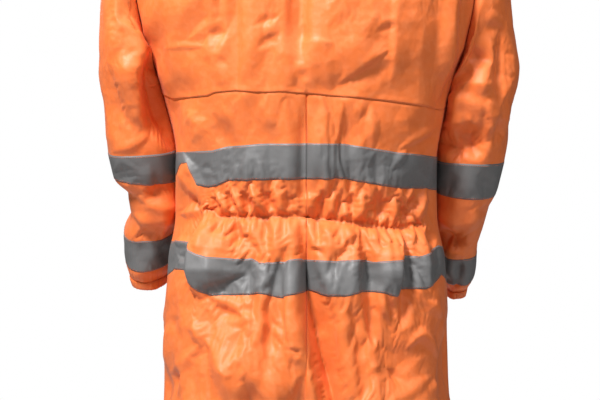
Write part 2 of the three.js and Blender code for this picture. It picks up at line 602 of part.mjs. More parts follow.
function sliderGeometry() {
  const { length, topHalf, endHalf, plate } = SLIDER;
  const outline = polygon([[-endHalf, -length / 2], [endHalf, -length / 2], [topHalf, length / 4],
    [topHalf - 1.2, length / 2], [1.2 - topHalf, length / 2], [-topHalf, length / 4]]);
  const base = extrude(outline, plate).translate(0, 0, PLATE_IN);
  const [inside, outside] = [BRIDGE.window / 2, BRIDGE.window / 2 + BRIDGE.wall];
  const [foot, top] = [PLATE_OUT - plate / 2, PLATE_OUT + BRIDGE.height];
  const arch = polygon([[-outside, foot], [-inside, foot], [-inside, top], [inside, top],
    [inside, foot], [outside, foot], [outside, top + BRIDGE.wall], [-outside, top + BRIDGE.wall]]);
  const turned = new THREE.Matrix4().makeBasis(vec(0, 1, 0), vec(0, 0, 1), vec(1, 0, 0));
  const bridge = extrude(arch, 2 * BRIDGE.half).translate(0, 0, -BRIDGE.half).applyMatrix4(turned);
  return fromManifold(toManifold(base).add(toManifold(bridge)));
}

// Pull tab in the same frame, hanging down from its cross bar at the pivot.
function pullGeometry() {
  const { half, eyeHalf, eye, bar, length, thick } = PULL;
  const outline = polygon([[-half, bar / 2], [-half, -length + 3], [-half + 1.6, -length],
    [half - 1.6, -length], [half, -length + 3], [half, bar / 2]]);
  outline.holes.push(polygon(rectangle(-eyeHalf, -bar / 2 - eye, eyeHalf, -bar / 2)));
  return extrude(outline, thick).translate(0, 0, PIVOT - thick / 2);
}

// ---- The garment ------------------------------------------------------------------------------
const garment = new THREE.Group();
const SIDES = { left: 1, right: -1 };
const yoke = yokeGrid();
const backs = { '1': backGrid(1), '-1': backGrid(-1) };
const fronts = { '1': frontGrid(1), '-1': frontGrid(-1) };
const sleeveRings = { '1': sleeveGrid(1), '-1': sleeveGrid(-1) };
const collar = collarGrid(yoke, fronts);

share(yoke, {});
share(collar, {});
for (const side of Object.values(SIDES)) {
  share(backs[side], { flip: side < 0 });
  share(fronts[side], { flip: side < 0 });
  share(sleeveRings[side], { flip: side < 0, closed: true });
}

garment.add(sheet('back_yoke', 'shell', yoke));
garment.add(sheet('collar', 'shell', collar));

const onCloth = { wall: TAPE, lift: CLOTH / 2 + GAP + TAPE / 2 };
const ringAt = (side, name) => SLEEVE_RINGS[side].findIndex((ring) => ring.name === name);

for (const [word, side] of Object.entries(SIDES)) {
  const flip = side < 0;
  const hem = ringAt(side, 'hem');
  garment.add(sheet(`back_${word}`, 'shell', backs[side], { flip }));
  garment.add(sheet(`front_${word}`, 'shell', fronts[side], { flip }));
  garment.add(sheet(`sleeve_${word}`, 'shell', sleeveRings[side].slice(0, hem + 1), { flip, closed: true }));
  garment.add(sheet(`cuff_${word}`, 'shell', sleeveRings[side].slice(hem), { flip, closed: true }));
  for (const level of ['upper', 'lower']) {
    const [top, bottom] = [rowIndex(`${level}_tape_top`), rowIndex(`${level}_tape_bottom`)];
    const above = fronts[side].length - ROWS.length;
    const behind = backs[side].slice(top, bottom + 1);
    const before = fronts[side].slice(top + above, bottom + above + 1);
    const [first, end] = [ringAt(side, `${level}_tape_top`), ringAt(side, `${level}_tape_bottom`)];
    const round = sleeveRings[side].slice(first, end + 1);
    garment.add(sheet(`tape_${level}_back_${word}`, 'tape', behind, { ...onCloth, flip }));
    garment.add(sheet(`tape_${level}_front_${word}`, 'tape', before, { ...onCloth, flip }));
    garment.add(sheet(`tape_${level}_sleeve_${word}`, 'tape', round,
      { ...onCloth, flip, closed: true }));
  }
}

// The elastic lies inside the back, along the two waist rows, across the centre back seam.
const waist = [rowIndex('waist_top'), rowIndex('waist_bottom')];
const elastic = waist.map((row) => [...mirrorRow(backs['-1'][row].slice(0, ELASTIC_SPAN.right + 1)),
  ...backs['1'][row].slice(1, ELASTIC_SPAN.left + 1)]);
garment.add(sheet('waist_elastic', 'elastic', elastic,
  { wall: ELASTIC, lift: -(CLOTH / 2 + GAP + ELASTIC / 2) }));

const line = frontLine(collar, fronts['1']);
garment.add(solid('zip', 'zip', sweep(line, zipOutline())));

// The slider and its pull tab stand on the collar's straight stretch of the zip, near its top.
const [collarTop, collarFoot] = [line[0], line[collar.length - 1]];
const upward = collarTop.clone().sub(collarFoot).normalize();
const place = new THREE.Matrix4().makeBasis(vec(1, 0, 0), upward, vec(1, 0, 0).cross(upward))
  .setPosition(collarFoot.clone().lerp(collarTop, SLIDER.up));
garment.add(solid('zip_slider', 'slider', sliderGeometry().applyMatrix4(place)));
garment.add(solid('zip_pull', 'slider', pullGeometry().applyMatrix4(place)));

export default garment;
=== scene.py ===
import bmesh
import bpy
import numpy as np
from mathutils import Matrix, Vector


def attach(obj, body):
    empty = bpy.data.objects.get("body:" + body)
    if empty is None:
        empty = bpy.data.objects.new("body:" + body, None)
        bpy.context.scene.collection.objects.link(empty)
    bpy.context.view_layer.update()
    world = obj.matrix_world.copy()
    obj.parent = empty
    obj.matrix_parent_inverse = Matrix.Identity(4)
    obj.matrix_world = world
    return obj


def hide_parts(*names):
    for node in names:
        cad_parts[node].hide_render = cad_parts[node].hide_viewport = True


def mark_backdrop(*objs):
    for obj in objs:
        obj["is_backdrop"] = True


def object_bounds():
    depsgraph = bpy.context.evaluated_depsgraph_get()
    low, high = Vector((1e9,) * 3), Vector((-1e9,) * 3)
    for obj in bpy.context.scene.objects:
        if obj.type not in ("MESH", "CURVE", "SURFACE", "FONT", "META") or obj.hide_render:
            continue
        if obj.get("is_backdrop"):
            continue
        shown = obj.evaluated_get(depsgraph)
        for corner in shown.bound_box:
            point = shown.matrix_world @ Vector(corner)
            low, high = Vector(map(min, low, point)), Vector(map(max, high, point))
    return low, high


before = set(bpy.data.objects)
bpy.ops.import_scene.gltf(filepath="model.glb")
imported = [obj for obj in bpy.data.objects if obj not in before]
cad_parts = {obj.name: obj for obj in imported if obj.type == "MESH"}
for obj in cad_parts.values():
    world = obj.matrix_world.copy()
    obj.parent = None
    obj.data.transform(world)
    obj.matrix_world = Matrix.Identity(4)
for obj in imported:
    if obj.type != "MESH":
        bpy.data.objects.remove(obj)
cad_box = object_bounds()

# %% [markdown]
# ## The garment and its coordinates
# This is a hi-vis coverall as somebody wears it, with nobody inside. Thin coated cloth hangs from
# the shoulders, an elastic draws the back in at the waist, and bands of reflective tape run round
# the body and the sleeves. The tables below are in millimetres, with +Z up, the front facing -Y and
# the wearer's left at +X; a mesh is turned into metres when it is made. The origin is between the
# two points where the neck edge meets the shoulder seams, and side is 1 on the left, -1 on the right.

# %% Sizes of the cloth and of the cut
MM = 0.001
CLOTH = 0.5            # wall of the coated cloth
TAPE = 0.35            # wall of the reflective tape
ROUND = 0.86           # power of the sine in a body section; 1 would make it an ellipse
SHOULDER = (238, -62)
NECK_HALF, NECK_BACK, NECK_FRONT = 75, -15, -85
ARMHOLE_BACK, ARMHOLE_FRONT, ARMHOLE_BULGE, ARMHOLE_ROUND = 64, 58, 8, 0.6
ARMPIT = {1: -250, -1: -282}
COLLAR_HEIGHT, COLLAR_LEAN = 45, 0.1
CROTCH, HEM, ZIP_END, ZIP_SLOT = -830, -1570, -705, 4
FINE, COARSE = 2.8, 7.5     # spacing of the grid where the folds are small, and on the legs

# z, outer edge, fork (centre of a leg's section over its half width), depth behind, before
BODY = np.array([
    (0, 75, 0, 72, 74), (-62, 238, 0, 105, 88), (-150, 236, 0, 133, 112),
    (-200, 231, 0, 138, 122), (-250, 221, 0, 138, 129), (-319, 199, 0, 132, 132),
    (-400, 183, 0, 125, 132), (-480, 184, 0, 112, 129), (-540, 193, 0, 131, 132),
    (-600, 197, 0, 144, 134), (-725, 201, 0.5, 150, 130), (CROTCH, 204, 1, 146, 122),
    (-850, 204, 1.07, 142, 119), (-1130, 205, 1.15, 112, 104), (HEM, 198, 1.48, 88, 86),
], float)[::-1]
BODY_Z = BODY[:, 0]
OUTER, FORK, BEHIND, BEFORE = BODY.T[1:]

# %% [markdown]
# ## A smooth form to hang the cloth on
# The body is a stack of rounded sections. Each one is a sine across and a cosine in depth, both
# raised to a power a little under one, so the back is flatter than an ellipse. The sizes of the
# sections are read from the table by a monotone cubic, which never swings past the values it
# joins. Below the crotch the same section becomes two legs, because the centre of each half moves
# outwards until the inner edge curls round.

# %% The body's sections
def slopes(at, value):
    """Tangents of a monotone cubic: the harmonic mean of the two neighbouring slopes."""
    rise = np.diff(value) / np.diff(at)
    product = rise[:-1] * rise[1:]
    total = rise[:-1] + rise[1:]
    inner = np.where(product > 0, 2 * product / np.where(total == 0, 1, total), 0)
    return np.concatenate([rise[:1], inner, rise[-1:]])


def cubic(at, value, where):
    """The monotone cubic through (at, value), with at rising, read at every point of where."""
    where = np.clip(where, at[0], at[-1])
    i = np.clip(np.searchsorted(at, where, side="right") - 1, 0, len(at) - 2)
    tangent = slopes(at, value)
    step = at[i + 1] - at[i]
    t = (where - at[i]) / step
    return (value[i] * (1 + 2 * t) * (1 - t) ** 2 + value[i + 1] * t * t * (3 - 2 * t)
            + step * (tangent[i] * t * (1 - t) ** 2 - tangent[i + 1] * t * t * (1 - t)))


def lerp(a, b, t):
    return a + (b - a) * t


def smoothstep(x, low, high):
    t = np.clip((x - low) / (high - low), 0, 1)
    return t * t * (3 - 2 * t)


def power(value, p):
    return np.sign(value) * np.abs(value) ** p


def unit(vectors):
    return vectors / np.maximum(np.linalg.norm(vectors, axis=-1, keepdims=True), 1e-9)


def section(side, face, z):
    """Half width, depth, centre and the two edge angles of the section at height z. Above the
    armpit the second edge is the armhole, above the shoulder point it is the shoulder seam."""
    depth = cubic(BODY_Z, BEHIND if face > 0 else BEFORE, z)
    up = (z - SHOULDER[1]) / -SHOULDER[1]
    t = np.clip((z - ARMPIT[side]) / (SHOULDER[1] - ARMPIT[side]), 0, 1)
    swell = np.sin(np.pi * t)
    edge_x = lerp(cubic(BODY_Z, OUTER, np.array(float(ARMPIT[side]))), SHOULDER[0], t)
    edge_x = edge_x + ARMHOLE_BULGE * swell
    edge_y = (ARMHOLE_BACK if face > 0 else ARMHOLE_FRONT) * swell ** ARMHOLE_ROUND
    edge = np.arccos(np.clip((edge_y / depth) ** (1 / ROUND), 0, 1))
    fork = cubic(BODY_Z, FORK, z)
    outer = cubic(BODY_Z, OUTER, z)
    above, beside = z > SHOULDER[1], z > ARMPIT[side]
    half = np.where(above, lerp(SHOULDER[0], NECK_HALF, up),
                    np.where(beside, edge_x / np.sin(np.maximum(edge, 0.05)) ** ROUND,
                             outer / (1 + fork)))
    centre = np.where(beside, 0, half * fork)
    inner = np.where(beside, 0, -np.arcsin(np.clip(fork ** (1 / ROUND), 0, 1)))
    last = np.where(beside & ~above, edge, np.pi / 2)
    return half, depth, centre, inner, last


def body_points(side, face, s, z):
    """Points of the smooth form at share s of a quarter section (0 on the centre line or inseam,
    1 at the side seam, armhole or shoulder seam) and height z, with the way out of the body."""
    half, depth, centre, inner, last = section(side, face, z)
    angle = lerp(inner, last, s)
    sine = power(np.sin(angle), ROUND)
    cosine = np.maximum(0, np.cos(angle)) ** ROUND
    steep = 2 / ROUND - 1
    out = np.stack([side * power(sine, steep) / half, face * cosine ** steep / depth,
                    np.zeros_like(z)], -1)
    out /= np.linalg.norm(out, axis=-1, keepdims=True)
    slot = np.where((face < 0) & (z >= ZIP_END), ZIP_SLOT, 0)
    x = np.maximum(centre + half * sine, slot)
    x = np.where((s == 0) & (z >= CROTCH), slot, x)
    return np.stack([side * x, face * depth * cosine, z], -1), out


half, depth, *_ = section(1, 1, np.array([-319.0, -480.0, -600.0]))
print("half widths", half.round(), "depths behind", depth.round())

# %% [markdown]
# ## Creases, placed one by one
# Thin coated cloth does not drape in round waves. It stays flat between sharp lines, so a crease is
# made here as a ridge or a trough with plane sides: highest on a line, falling in proportion to the
# distance from it, and fading towards both ends of the line. Each row of the tables below is one
# crease: the points of its line (x, z), its height (below zero is pressed in), and how wide each of
# its two sides is. A line drawn downwards has its first side towards +X; one drawn towards -X has
# it below. A narrow side next to a wide one makes the step of a fold that laps over its neighbour.

# %% The creases of the back, from the neck to the seat
BACK_CREASES = (
    # back yoke
    (((4, -97), (8, -191), (11, -272), (4, -320)), -11, 10, 8),
    (((13, -272), (3, -293)), 2.5, 4, 4),
    (((9, -293), (1, -316)), 2.5, 4, 3),
    (((15, -296), (5, -316)), -2, 4, 4),
    (((95, -111), (94, -191), (92, -272), (92, -336)), -3.6, 15, 3.5),
    (((76, -151), (74, -245), (76, -314)), 2.5, 10, 12),
    (((197, -253), (167, -251), (135, -253)), 0.9, 3, 4),
    (((134, -235), (121, -238), (107, -234)), -2.2, 3, 6),
    (((134, -239), (126, -280)), 1.6, 6, 5),
    (((107, -238), (114, -258), (126, -280)), 1.8, 5, 6),
    (((126, -164), (131, -231)), 1.5, 5, 5),
    (((108, -164), (110, -231)), 1.6, 4, 6),
    (((119, -272), (104, -312)), 2, 7, 6),
    (((162, -245), (137, -227), (110, -215)), 1.2, 6, 5),
    (((71, -227), (58, -223), (36, -214)), -1.7, 3, 5),
    (((67, -259), (55, -247), (33, -233)), -1.9, 6, 3),
    (((52, -218), (47, -234), (40, -250)), 2.4, 5, 5),
    (((43, -272), (29, -251), (23, -239)), 2.2, 9, 9),
    (((-1, -247), (-17, -249), (-36, -250)), 1.8, 13, 3),
    (((-21, -253), (-27, -285), (-32, -316)), 3.2, 9, 10),
    (((-7, -253), (-8, -314)), 1.6, 6, 6),
    (((-39, -306), (-74, -281), (-110, -258)), 3.8, 2.5, 22),
    (((-58, -304), (-87, -288), (-119, -274)), -2.6, 12, 7),
    (((-122, -124), (-121, -191), (-119, -231), (-116, -274), (-111, -309)), 2.8, 4, 17),
    (((-95, -227), (-108, -221), (-122, -214)), 1.4, 4, 6),
    (((-92, -235), (-108, -229), (-122, -226)), -1.2, 4, 5),
    (((-91, -151), (-87, -205), (-98, -223)), 1.6, 9, 7),
    (((-51, -205), (-58, -258)), -1.2, 14, 14),
    (((-203, -100), (-199, -191), (-193, -245), (-181, -335)), 7, 7, 6),
    (((-180, -164), (-174, -258), (-166, -320)), -1.6, 10, 6),
    (((-151, -164), (-154, -245), (-151, -320)), 2, 15, 14),
    (((200, -138), (193, -205), (175, -305)), 3, 8, 16),
    (((157, -258), (151, -314)), 1.4, 8, 8),
    # back chest
    (((4, -321), (5, -392), (7, -478)), -5, 5, 6),
    (((165, -336), (151, -353), (137, -349)), 1.8, 5, 7),
    (((135, -347), (146, -363), (154, -381)), 2.2, 6, 6),
    (((127, -341), (119, -357), (106, -392)), -2.8, 7, 6),
    (((115, -330), (100, -359), (91, -389)), 2, 6, 6),
    (((106, -349), (104, -392), (106, -446)), -3.4, 7, 6),
    (((86, -325), (82, -379), (79, -446)), 2.2, 8, 8),
    (((66, -330), (52, -379), (47, -446)), -3.6, 8, 9),
    (((28, -325), (25, -379), (25, -446)), 3.2, 9, 9),
    (((-20, -325), (-25, -379), (-25, -459)), 3.2, 10, 10),
    (((-51, -330), (-58, -379), (-58, -454)), -4.4, 9, 8),
    (((-87, -330), (-86, -365), (-88, -392)), 2.2, 4, 6),
    (((-92, -395), (-96, -446)), -2, 6, 5),
    (((-74, -325), (-71, -347)), 1.6, 5, 5),
    (((-122, -392), (-151, -375), (-181, -355)), 1.7, 3, 5),
    (((-130, -396), (-157, -381), (-181, -367)), -1.6, 5, 4),
    (((-139, -387), (-127, -401), (-115, -417)), 1.5, 4, 4),
    (((147, -417), (139, -416), (129, -420)), -1.8, 2.5, 3),
    (((149, -419), (139, -419), (129, -423)), 1, 3, 2),
    (((-133, -330), (-138, -387)), 1.6, 9, 9),
    (((47, -341), (60, -363)), 1.6, 7, 7),
    (((169, -392), (158, -413), (146, -446), (137, -470)), 5.5, 12, 3),
    (((175, -416), (157, -446), (138, -470)), 1.6, 5, 5),
    (((181, -479), (159, -475), (138, -472)), 1.8, 5, 4),
    (((162, -454), (149, -466)), -2, 5, 4),
    # back above the waist
    (((125, -446), (115, -462), (103, -479)), 2.6, 5, 4),
    (((131, -454), (122, -467), (114, -480)), -2.6, 4, 4),
    (((102, -443), (94, -459), (84, -479)), 3, 4, 4),
    (((108, -448), (102, -463), (95, -478)), -3, 4, 4),
    (((87, -446), (82, -462), (74, -479)), -3.6, 4, 5),
    (((76, -438), (68, -456), (52, -479)), 4.6, 5, 4),
    (((60, -443), (50, -462), (40, -479)), -3.2, 5, 4),
    (((44, -440), (36, -459), (28, -479)), 2.6, 5, 5),
    (((27, -446), (21, -478)), -2.4, 5, 5),
    (((-3, -446), (-5, -478)), 2.8, 5, 5),
    (((-15, -454), (-20, -480)), -2.4, 5, 5),
    (((-36, -448), (-33, -467), (-31, -483)), 2.8, 5, 5),
    (((-50, -462), (-51, -486)), 2.2, 4, 4),
    (((-43, -451), (-43, -483)), -2.2, 4, 4),
    (((-72, -451), (-74, -470), (-67, -488)), 2.8, 5, 4),
    (((-60, -448), (-60, -486)), -2.6, 6, 4),
    (((-95, -448), (-99, -467), (-96, -490)), -5, 9, 8),
    (((-123, -440), (-133, -462)), 2, 4, 3),
    (((-147, -440), (-135, -463)), 2.4, 3, 4),
    (((-119, -454), (-122, -488)), 2.4, 5, 4),
    (((-135, -464), (-135, -491)), -3.4, 5, 5),
    (((-170, -438), (-161, -464), (-147, -491)), 3.6, 5, 7),
    (((-151, -454), (-142, -475)), -2.2, 4, 4),
    # back under the waist
    (((135, -475), (143, -503), (147, -529), (149, -580), (138, -593)), 10, 3, 34),
    (((126, -484), (133, -507), (134, -529)), 2.4, 6, 6),
    (((118, -486), (118, -507)), -2.2, 4, 4),
    (((108, -484), (111, -507), (106, -531)), 3, 7, 6),
    (((94, -484), (90, -502), (92, -521)), -5, 5, 4),
    (((84, -484), (86, -513)), 2.6, 4, 5),
    (((71, -484), (68, -502), (55, -534)), 3.6, 6, 7),
    (((60, -486), (47, -507)), -2.4, 5, 4),
    (((39, -484), (42, -507), (33, -542)), 3.4, 8, 7),
    (((52, -491), (55, -526)), -1.8, 5, 5),
    (((21, -484), (17, -513), (13, -542)), 2.6, 9, 4),
    (((5, -480), (4, -530), (-2, -582), (-12, -636), (-22, -688), (-34, -740),
      (-44, -790), (-52, -887)), -19, 6, 19),
    (((22, -530), (15, -593), (2, -660), (-14, -729), (-24, -807)), 5, 24, 4),
    (((-12, -486), (-15, -513)), -2.4, 4, 4),
    (((-5, -488), (-9, -526)), 2, 5, 5),
    (((-23, -484), (-31, -513), (-28, -542)), 4.8, 9, 12),
    (((-42, -491), (-44, -521)), -1.6, 5, 5),
    (((-52, -491), (-58, -519)), 2.6, 6, 5),
    (((-72, -492), (-76, -519), (-82, -550), (-84, -593), (-90, -653)), -10, 9, 7),
    (((-87, -494), (-92, -521)), 2.4, 4, 5),
    (((-103, -496), (-106, -521), (-104, -542), (-108, -585)), 5.2, 12, 9),
    (((-112, -496), (-111, -515)), -2, 4, 4),
    (((-123, -496), (-123, -518), (-122, -542), (-121, -582), (-112, -596)), 6, 16, 3),
    (((-133, -496), (-130, -518), (-131, -580), (-127, -633)), -7, 6, 7),
    (((-142, -494), (-141, -518)), 2, 4, 4),
    (((-153, -495), (-157, -523), (-157, -577)), 4.2, 7, 10),
    (((-166, -494), (-173, -526)), -2, 6, 5),
    (((182, -517), (163, -517), (149, -521)), 1.6, 4, 4),
    (((175, -534), (161, -538), (150, -534)), -1.4, 4, 3),
    (((173, -547), (159, -542)), 1.3, 3, 3),
    (((125, -529), (123, -553), (127, -588)), 3, 8, 8),
    (((90, -537), (80, -561), (76, -585)), -2.6, 9, 9),
    (((60, -542), (60, -582)), 2, 9, 9),
    # back seat
    (((138, -585), (116, -593), (95, -605), (68, -622)), 2.8, 5, 6),
    (((114, -590), (90, -598), (60, -596)), 1.8, 4, 4),
    (((125, -601), (106, -612), (82, -614)), -2.4, 5, 5),
    (((118, -617), (90, -618), (60, -613)), 1.8, 5, 4),
    (((82, -606), (74, -622), (76, -641)), 3.2, 8, 6),
    (((58, -604), (60, -628), (71, -653)), 2.6, 6, 8),
    (((86, -633), (95, -657), (106, -673)), -3.2, 8, 7),
    (((149, -617), (146, -633), (139, -656)), 3.4, 5, 6),
    (((135, -604), (130, -633), (127, -653)), -2.4, 6, 6),
    (((138, -638), (125, -656), (114, -677), (104, -700), (92, -732), (84, -780)), 6, 8, 11),
    (((114, -679), (103, -689), (92, -692)), 2.2, 4, 4),
    (((106, -663), (92, -687), (76, -716)), -3.6, 8, 8),
    (((142, -652), (157, -669), (170, -681), (193, -697)), 4, 5, 6),
    (((161, -673), (170, -700), (181, -729)), 3.4, 5, 5),
    (((149, -663), (151, -700), (146, -754)), -4, 9, 8),
    (((133, -663), (130, -700), (125, -754)), -3, 7, 7),
    (((175, -689), (186, -716)), -2.2, 5, 5),
    (((170, -598), (162, -620), (165, -646)), 2.2, 9, 9),
    (((186, -617), (173, -641)), -1.8, 8, 8),
    (((78, -692), (75, -716), (71, -780)), -8, 8, 9),
    (((47, -681), (42, -713), (36, -780)), 4, 11, 10),
    (((87, -689), (78, -689)), 1.6, 4, 4),
    (((1, -681), (9, -707), (20, -740), (23, -794)), -6, 7, 10),
    (((31, -646), (9, -673)), 2.6, 7, 6),
    (((52, -633), (42, -660)), -2, 7, 7),
    (((-36, -593), (-42, -646), (-50, -729), (-55, -794)), 5.2, 14, 11),
    (((-55, -590), (-60, -609), (-76, -641)), -2.6, 4, 7),
    (((-71, -644), (-74, -727)), -3.4, 10, 10),
    (((-95, -588), (-102, -602), (-110, -618)), 3, 4, 4),
    (((-102, -588), (-111, -601), (-119, -617)), -2, 4, 4),
    (((-84, -633), (-92, -673), (-95, -732)), 2.8, 8, 8),
    (((-135, -660), (-145, -644), (-155, -638), (-169, -653), (-183, -673)), 3.6, 7, 4),
    (((-122, -638), (-135, -628), (-151, -617)), 2, 6, 6),
    (((-143, -655), (-157, -652), (-170, -668)), -2.4, 6, 4),
    (((-112, -683), (-123, -696), (-139, -699)), -2.8, 4, 4),
    (((-104, -729), (-138, -716), (-175, -697)), 2.8, 6, 6),
    (((-79, -689), (-90, -681), (-100, -679)), 2, 4, 4),
    (((-119, -705), (-141, -689), (-162, -668)), 1.8, 7, 7),
    (((-151, -593), (-165, -604), (-181, -620)), 2, 5, 5),
    (((-130, -593), (-141, -620)), 1.6, 6, 6),
    (((-170, -721), (-186, -705)), 2, 5, 5),
    (((-17, -633), (-23, -653)), 1.5, 6, 6),
)

# %% The creases of the sleeves as seen from behind
LEFT_SLEEVE_CREASES = (
    # left sleeve
    (((262, -176), (251, -209), (217, -232)), -9, 3, 17),
    (((262, -181), (248, -212), (232, -237)), 3, 7, 7),
    (((248, -229), (229, -254), (218, -268)), 2.4, 6, 6),
    (((214, -243), (206, -290), (196, -337), (184, -395)), -19, 20, 9),
    (((213, -236), (234, -284), (228, -343), (216, -378)), 9, 15, 4),
    (((251, -251), (240, -306), (223, -365)), 4.5, 12, 10),
    (((271, -265), (262, -320), (265, -376)), -2.6, 8, 8),
    (((273, -392), (246, -387), (218, -372)), 4.5, 4, 14),
    (((243, -334), (229, -351), (215, -356)), 2.2, 5, 6),
    (((268, -345), (251, -359), (229, -370)), 1.6, 5, 5),
    (((240, -276), (226, -298)), -2, 6, 6),
    (((218, -409), (218, -445)), 3, 10, 6),
    (((259, -406), (254, -442)), -2, 9, 9),
    (((182, -426), (204, -445), (232, -467)), -6, 7, 7),
    (((182, -445), (196, -476), (207, -509)), 3.6, 7, 7),
    (((240, -453), (215, -467), (187, -470)), 3, 6, 5),
    (((246, -478), (223, -492), (204, -509)), 2.8, 6, 6),
    (((248, -515), (221, -503), (190, -495)), -3.6, 6, 6),
    (((221, -523), (218, -553)), 2.2, 8, 8),
    (((201, -523), (204, -553)), -1.8, 6, 6),
    (((243, -567), (218, -571), (196, -569)), -1.6, 3, 3),
)
RIGHT_SLEEVE_CREASES = (
    # right sleeve
    (((-247, -203), (-258, -208), (-272, -211)), 2.8, 5, 6),
    (((-249, -217), (-263, -222), (-277, -222)), -2.4, 5, 5),
    (((-216, -258), (-232, -265), (-258, -270)), -7, 4, 9),
    (((-215, -240), (-240, -243), (-262, -238)), 3, 12, 5),
    (((-212, -300), (-240, -296), (-268, -300)), 5, 9, 14),
    (((-227, -242), (-244, -250), (-261, -256)), 2.6, 5, 6),
    (((-275, -215), (-270, -264), (-264, -325)), -9, 5, 10),
    (((-249, -264), (-244, -292), (-241, -320)), 4.5, 10, 9),
    (((-182, -306), (-212, -318), (-240, -328), (-275, -330)), 13, 22, 20),
    (((-184, -350), (-214, -352), (-244, -356)), 4, 5, 8),
    (((-180, -374), (-208, -390), (-236, -386), (-262, -376)), -16, 7, 22),
    (((-246, -322), (-254, -345), (-250, -378)), 8, 4, 9),
    (((-258, -340), (-266, -362), (-262, -384)), -7, 4, 6),
    (((-238, -370), (-249, -384), (-258, -395)), 2.6, 4, 5),
    (((-196, -370), (-216, -387), (-238, -403)), 2.8, 8, 6),
    (((-277, -320), (-280, -361)), 2.4, 6, 6),
    (((-227, -414), (-224, -456)), 2.8, 10, 9),
    (((-202, -417), (-199, -456)), -2.4, 7, 7),
    (((-252, -414), (-247, -456)), -1.8, 8, 8),
    (((-185, -467), (-202, -490), (-227, -504)), 4.5, 8, 8),
    (((-185, -504), (-208, -515), (-230, -526)), -7, 6, 7),
    (((-247, -462), (-233, -487), (-222, -509)), 2.4, 6, 6),
    (((-194, -529), (-210, -537), (-230, -540)), 4, 5, 5),
    (((-199, -545), (-206, -562), (-213, -576)), 4, 6, 7),
    (((-222, -545), (-219, -576)), -3.5, 5, 5),
    (((-191, -582), (-210, -586), (-230, -579)), -1.6, 3, 3),
    (((-238, -467), (-252, -479)), -1.8, 5, 5),
)

# %% The creases of the front and of the legs
FRONT_CREASES = (
    # shoulders and chest
    (((190, -80), (150, -160), (118, -250)), 4, 16, 12),
    (((-188, -84), (-152, -170), (-112, -262)), 4, 12, 17),
    (((120, -60), (96, -140), (90, -230)), -4, 14, 10), (((-120, -60), (-98, -150), (-84, -240)), -4, 10, 15),
    (((52, -120), (44, -260), (50, -380)), 3, 14, 12), (((-50, -110), (-58, -240), (-46, -372)), 3, 12, 15),
    (((205, -255), (160, -282), (112, -296)), 4, 6, 12),
    (((-202, -286), (-150, -306), (-104, -316)), 4, 6, 13),
    (((150, -300), (128, -370), (120, -450)), -5, 12, 9),
    (((-140, -310), (-124, -380), (-128, -455)), -5, 9, 13),
    (((24, -200), (60, -236), (104, -240)), 1.6, 5, 6), (((-30, -262), (-70, -280), (-96, -262)), -1.8, 5, 6),
    # waist
    (((168, -420), (122, -452), (84, -498)), 4.5, 8, 7),
    (((-166, -428), (-118, -466), (-76, -504)), 4.5, 7, 8),
    (((112, -430), (82, -476), (40, -512)), -3, 7, 7), (((-104, -436), (-74, -486), (-38, -520)), -3, 7, 7),
    (((60, -455), (96, -500), (146, -522)), 3, 6, 8), (((-58, -462), (-92, -508), (-150, -528)), 3, 6, 7),
    # hips and crotch
    (((128, -500), (138, -600), (120, -720)), -8, 12, 9),
    (((-116, -505), (-130, -610), (-118, -735)), -8, 9, 13),
    (((84, -520), (88, -620), (76, -720)), 5, 13, 11), (((-70, -530), (-84, -620), (-70, -716)), 5, 11, 14),
    (((34, -540), (42, -630), (30, -700)), -3, 9, 8), (((-36, -548), (-30, -640), (-34, -702)), -3, 8, 9),
    (((12, -760), (72, -742), (150, -690)), 5, 8, 10), (((-12, -764), (-78, -744), (-156, -700)), 5, 10, 8),
    (((16, -800), (76, -790), (160, -752)), -4, 8, 9), (((-14, -806), (-80, -796), (-162, -760)), -4, 9, 8),
    (((22, -838), (90, -838), (168, -812)), 4, 8, 10), (((-20, -842), (-92, -846), (-166, -824)), 4, 10, 8),
)
LEG_CREASES = (
    # thighs
    (((60, -860), (84, -960), (120, -1080)), -5, 14, 11),
    (((-64, -866), (-92, -970), (-116, -1090)), -5, 11, 14),
    (((150, -850), (140, -960), (96, -1060)), 4.5, 12, 15),
    (((-152, -856), (-136, -980), (-100, -1070)), 4.5, 15, 12),
    (((176, -900), (160, -1000), (166, -1090)), -4, 10, 12),
    (((-172, -910), (-162, -1010), (-168, -1096)), -4, 12, 10),
    # knees
    (((66, -1076), (108, -1100), (160, -1088)), 5, 9, 12),
    (((-62, -1082), (-104, -1112), (-160, -1094)), 5, 9, 12),
    (((70, -1120), (112, -1136), (166, -1118)), -5, 8, 9),
    (((-68, -1126), (-110, -1146), (-164, -1126)), -5, 8, 9),
    (((78, -1150), (116, -1172), (150, -1160)), 4, 8, 8),
    (((-74, -1160), (-112, -1182), (-152, -1166)), 4, 8, 8),
    # shins
    (((92, -1180), (100, -1300), (118, -1440)), -5, 12, 14),
    (((-94, -1190), (-104, -1310), (-110, -1450)), -5, 14, 12),
    (((150, -1200), (148, -1320), (136, -1460)), 4, 14, 12),
    (((-148, -1206), (-150, -1330), (-142, -1456)), 4, 12, 14),
    (((84, -1430), (120, -1462), (168, -1452)), 5, 9, 12),
    (((-86, -1440), (-124, -1470), (-166, -1456)), 5, 9, 12),
    (((88, -1480), (126, -1500), (172, -1488)), -5, 8, 9),
    (((-88, -1486), (-122, -1508), (-170, -1496)), -5, 8, 9),
    (((96, -1518), (130, -1534), (160, -1526)), 3.5, 7, 8),
    (((-94, -1522), (-128, -1540), (-162, -1532)), 3.5, 7, 8),
)
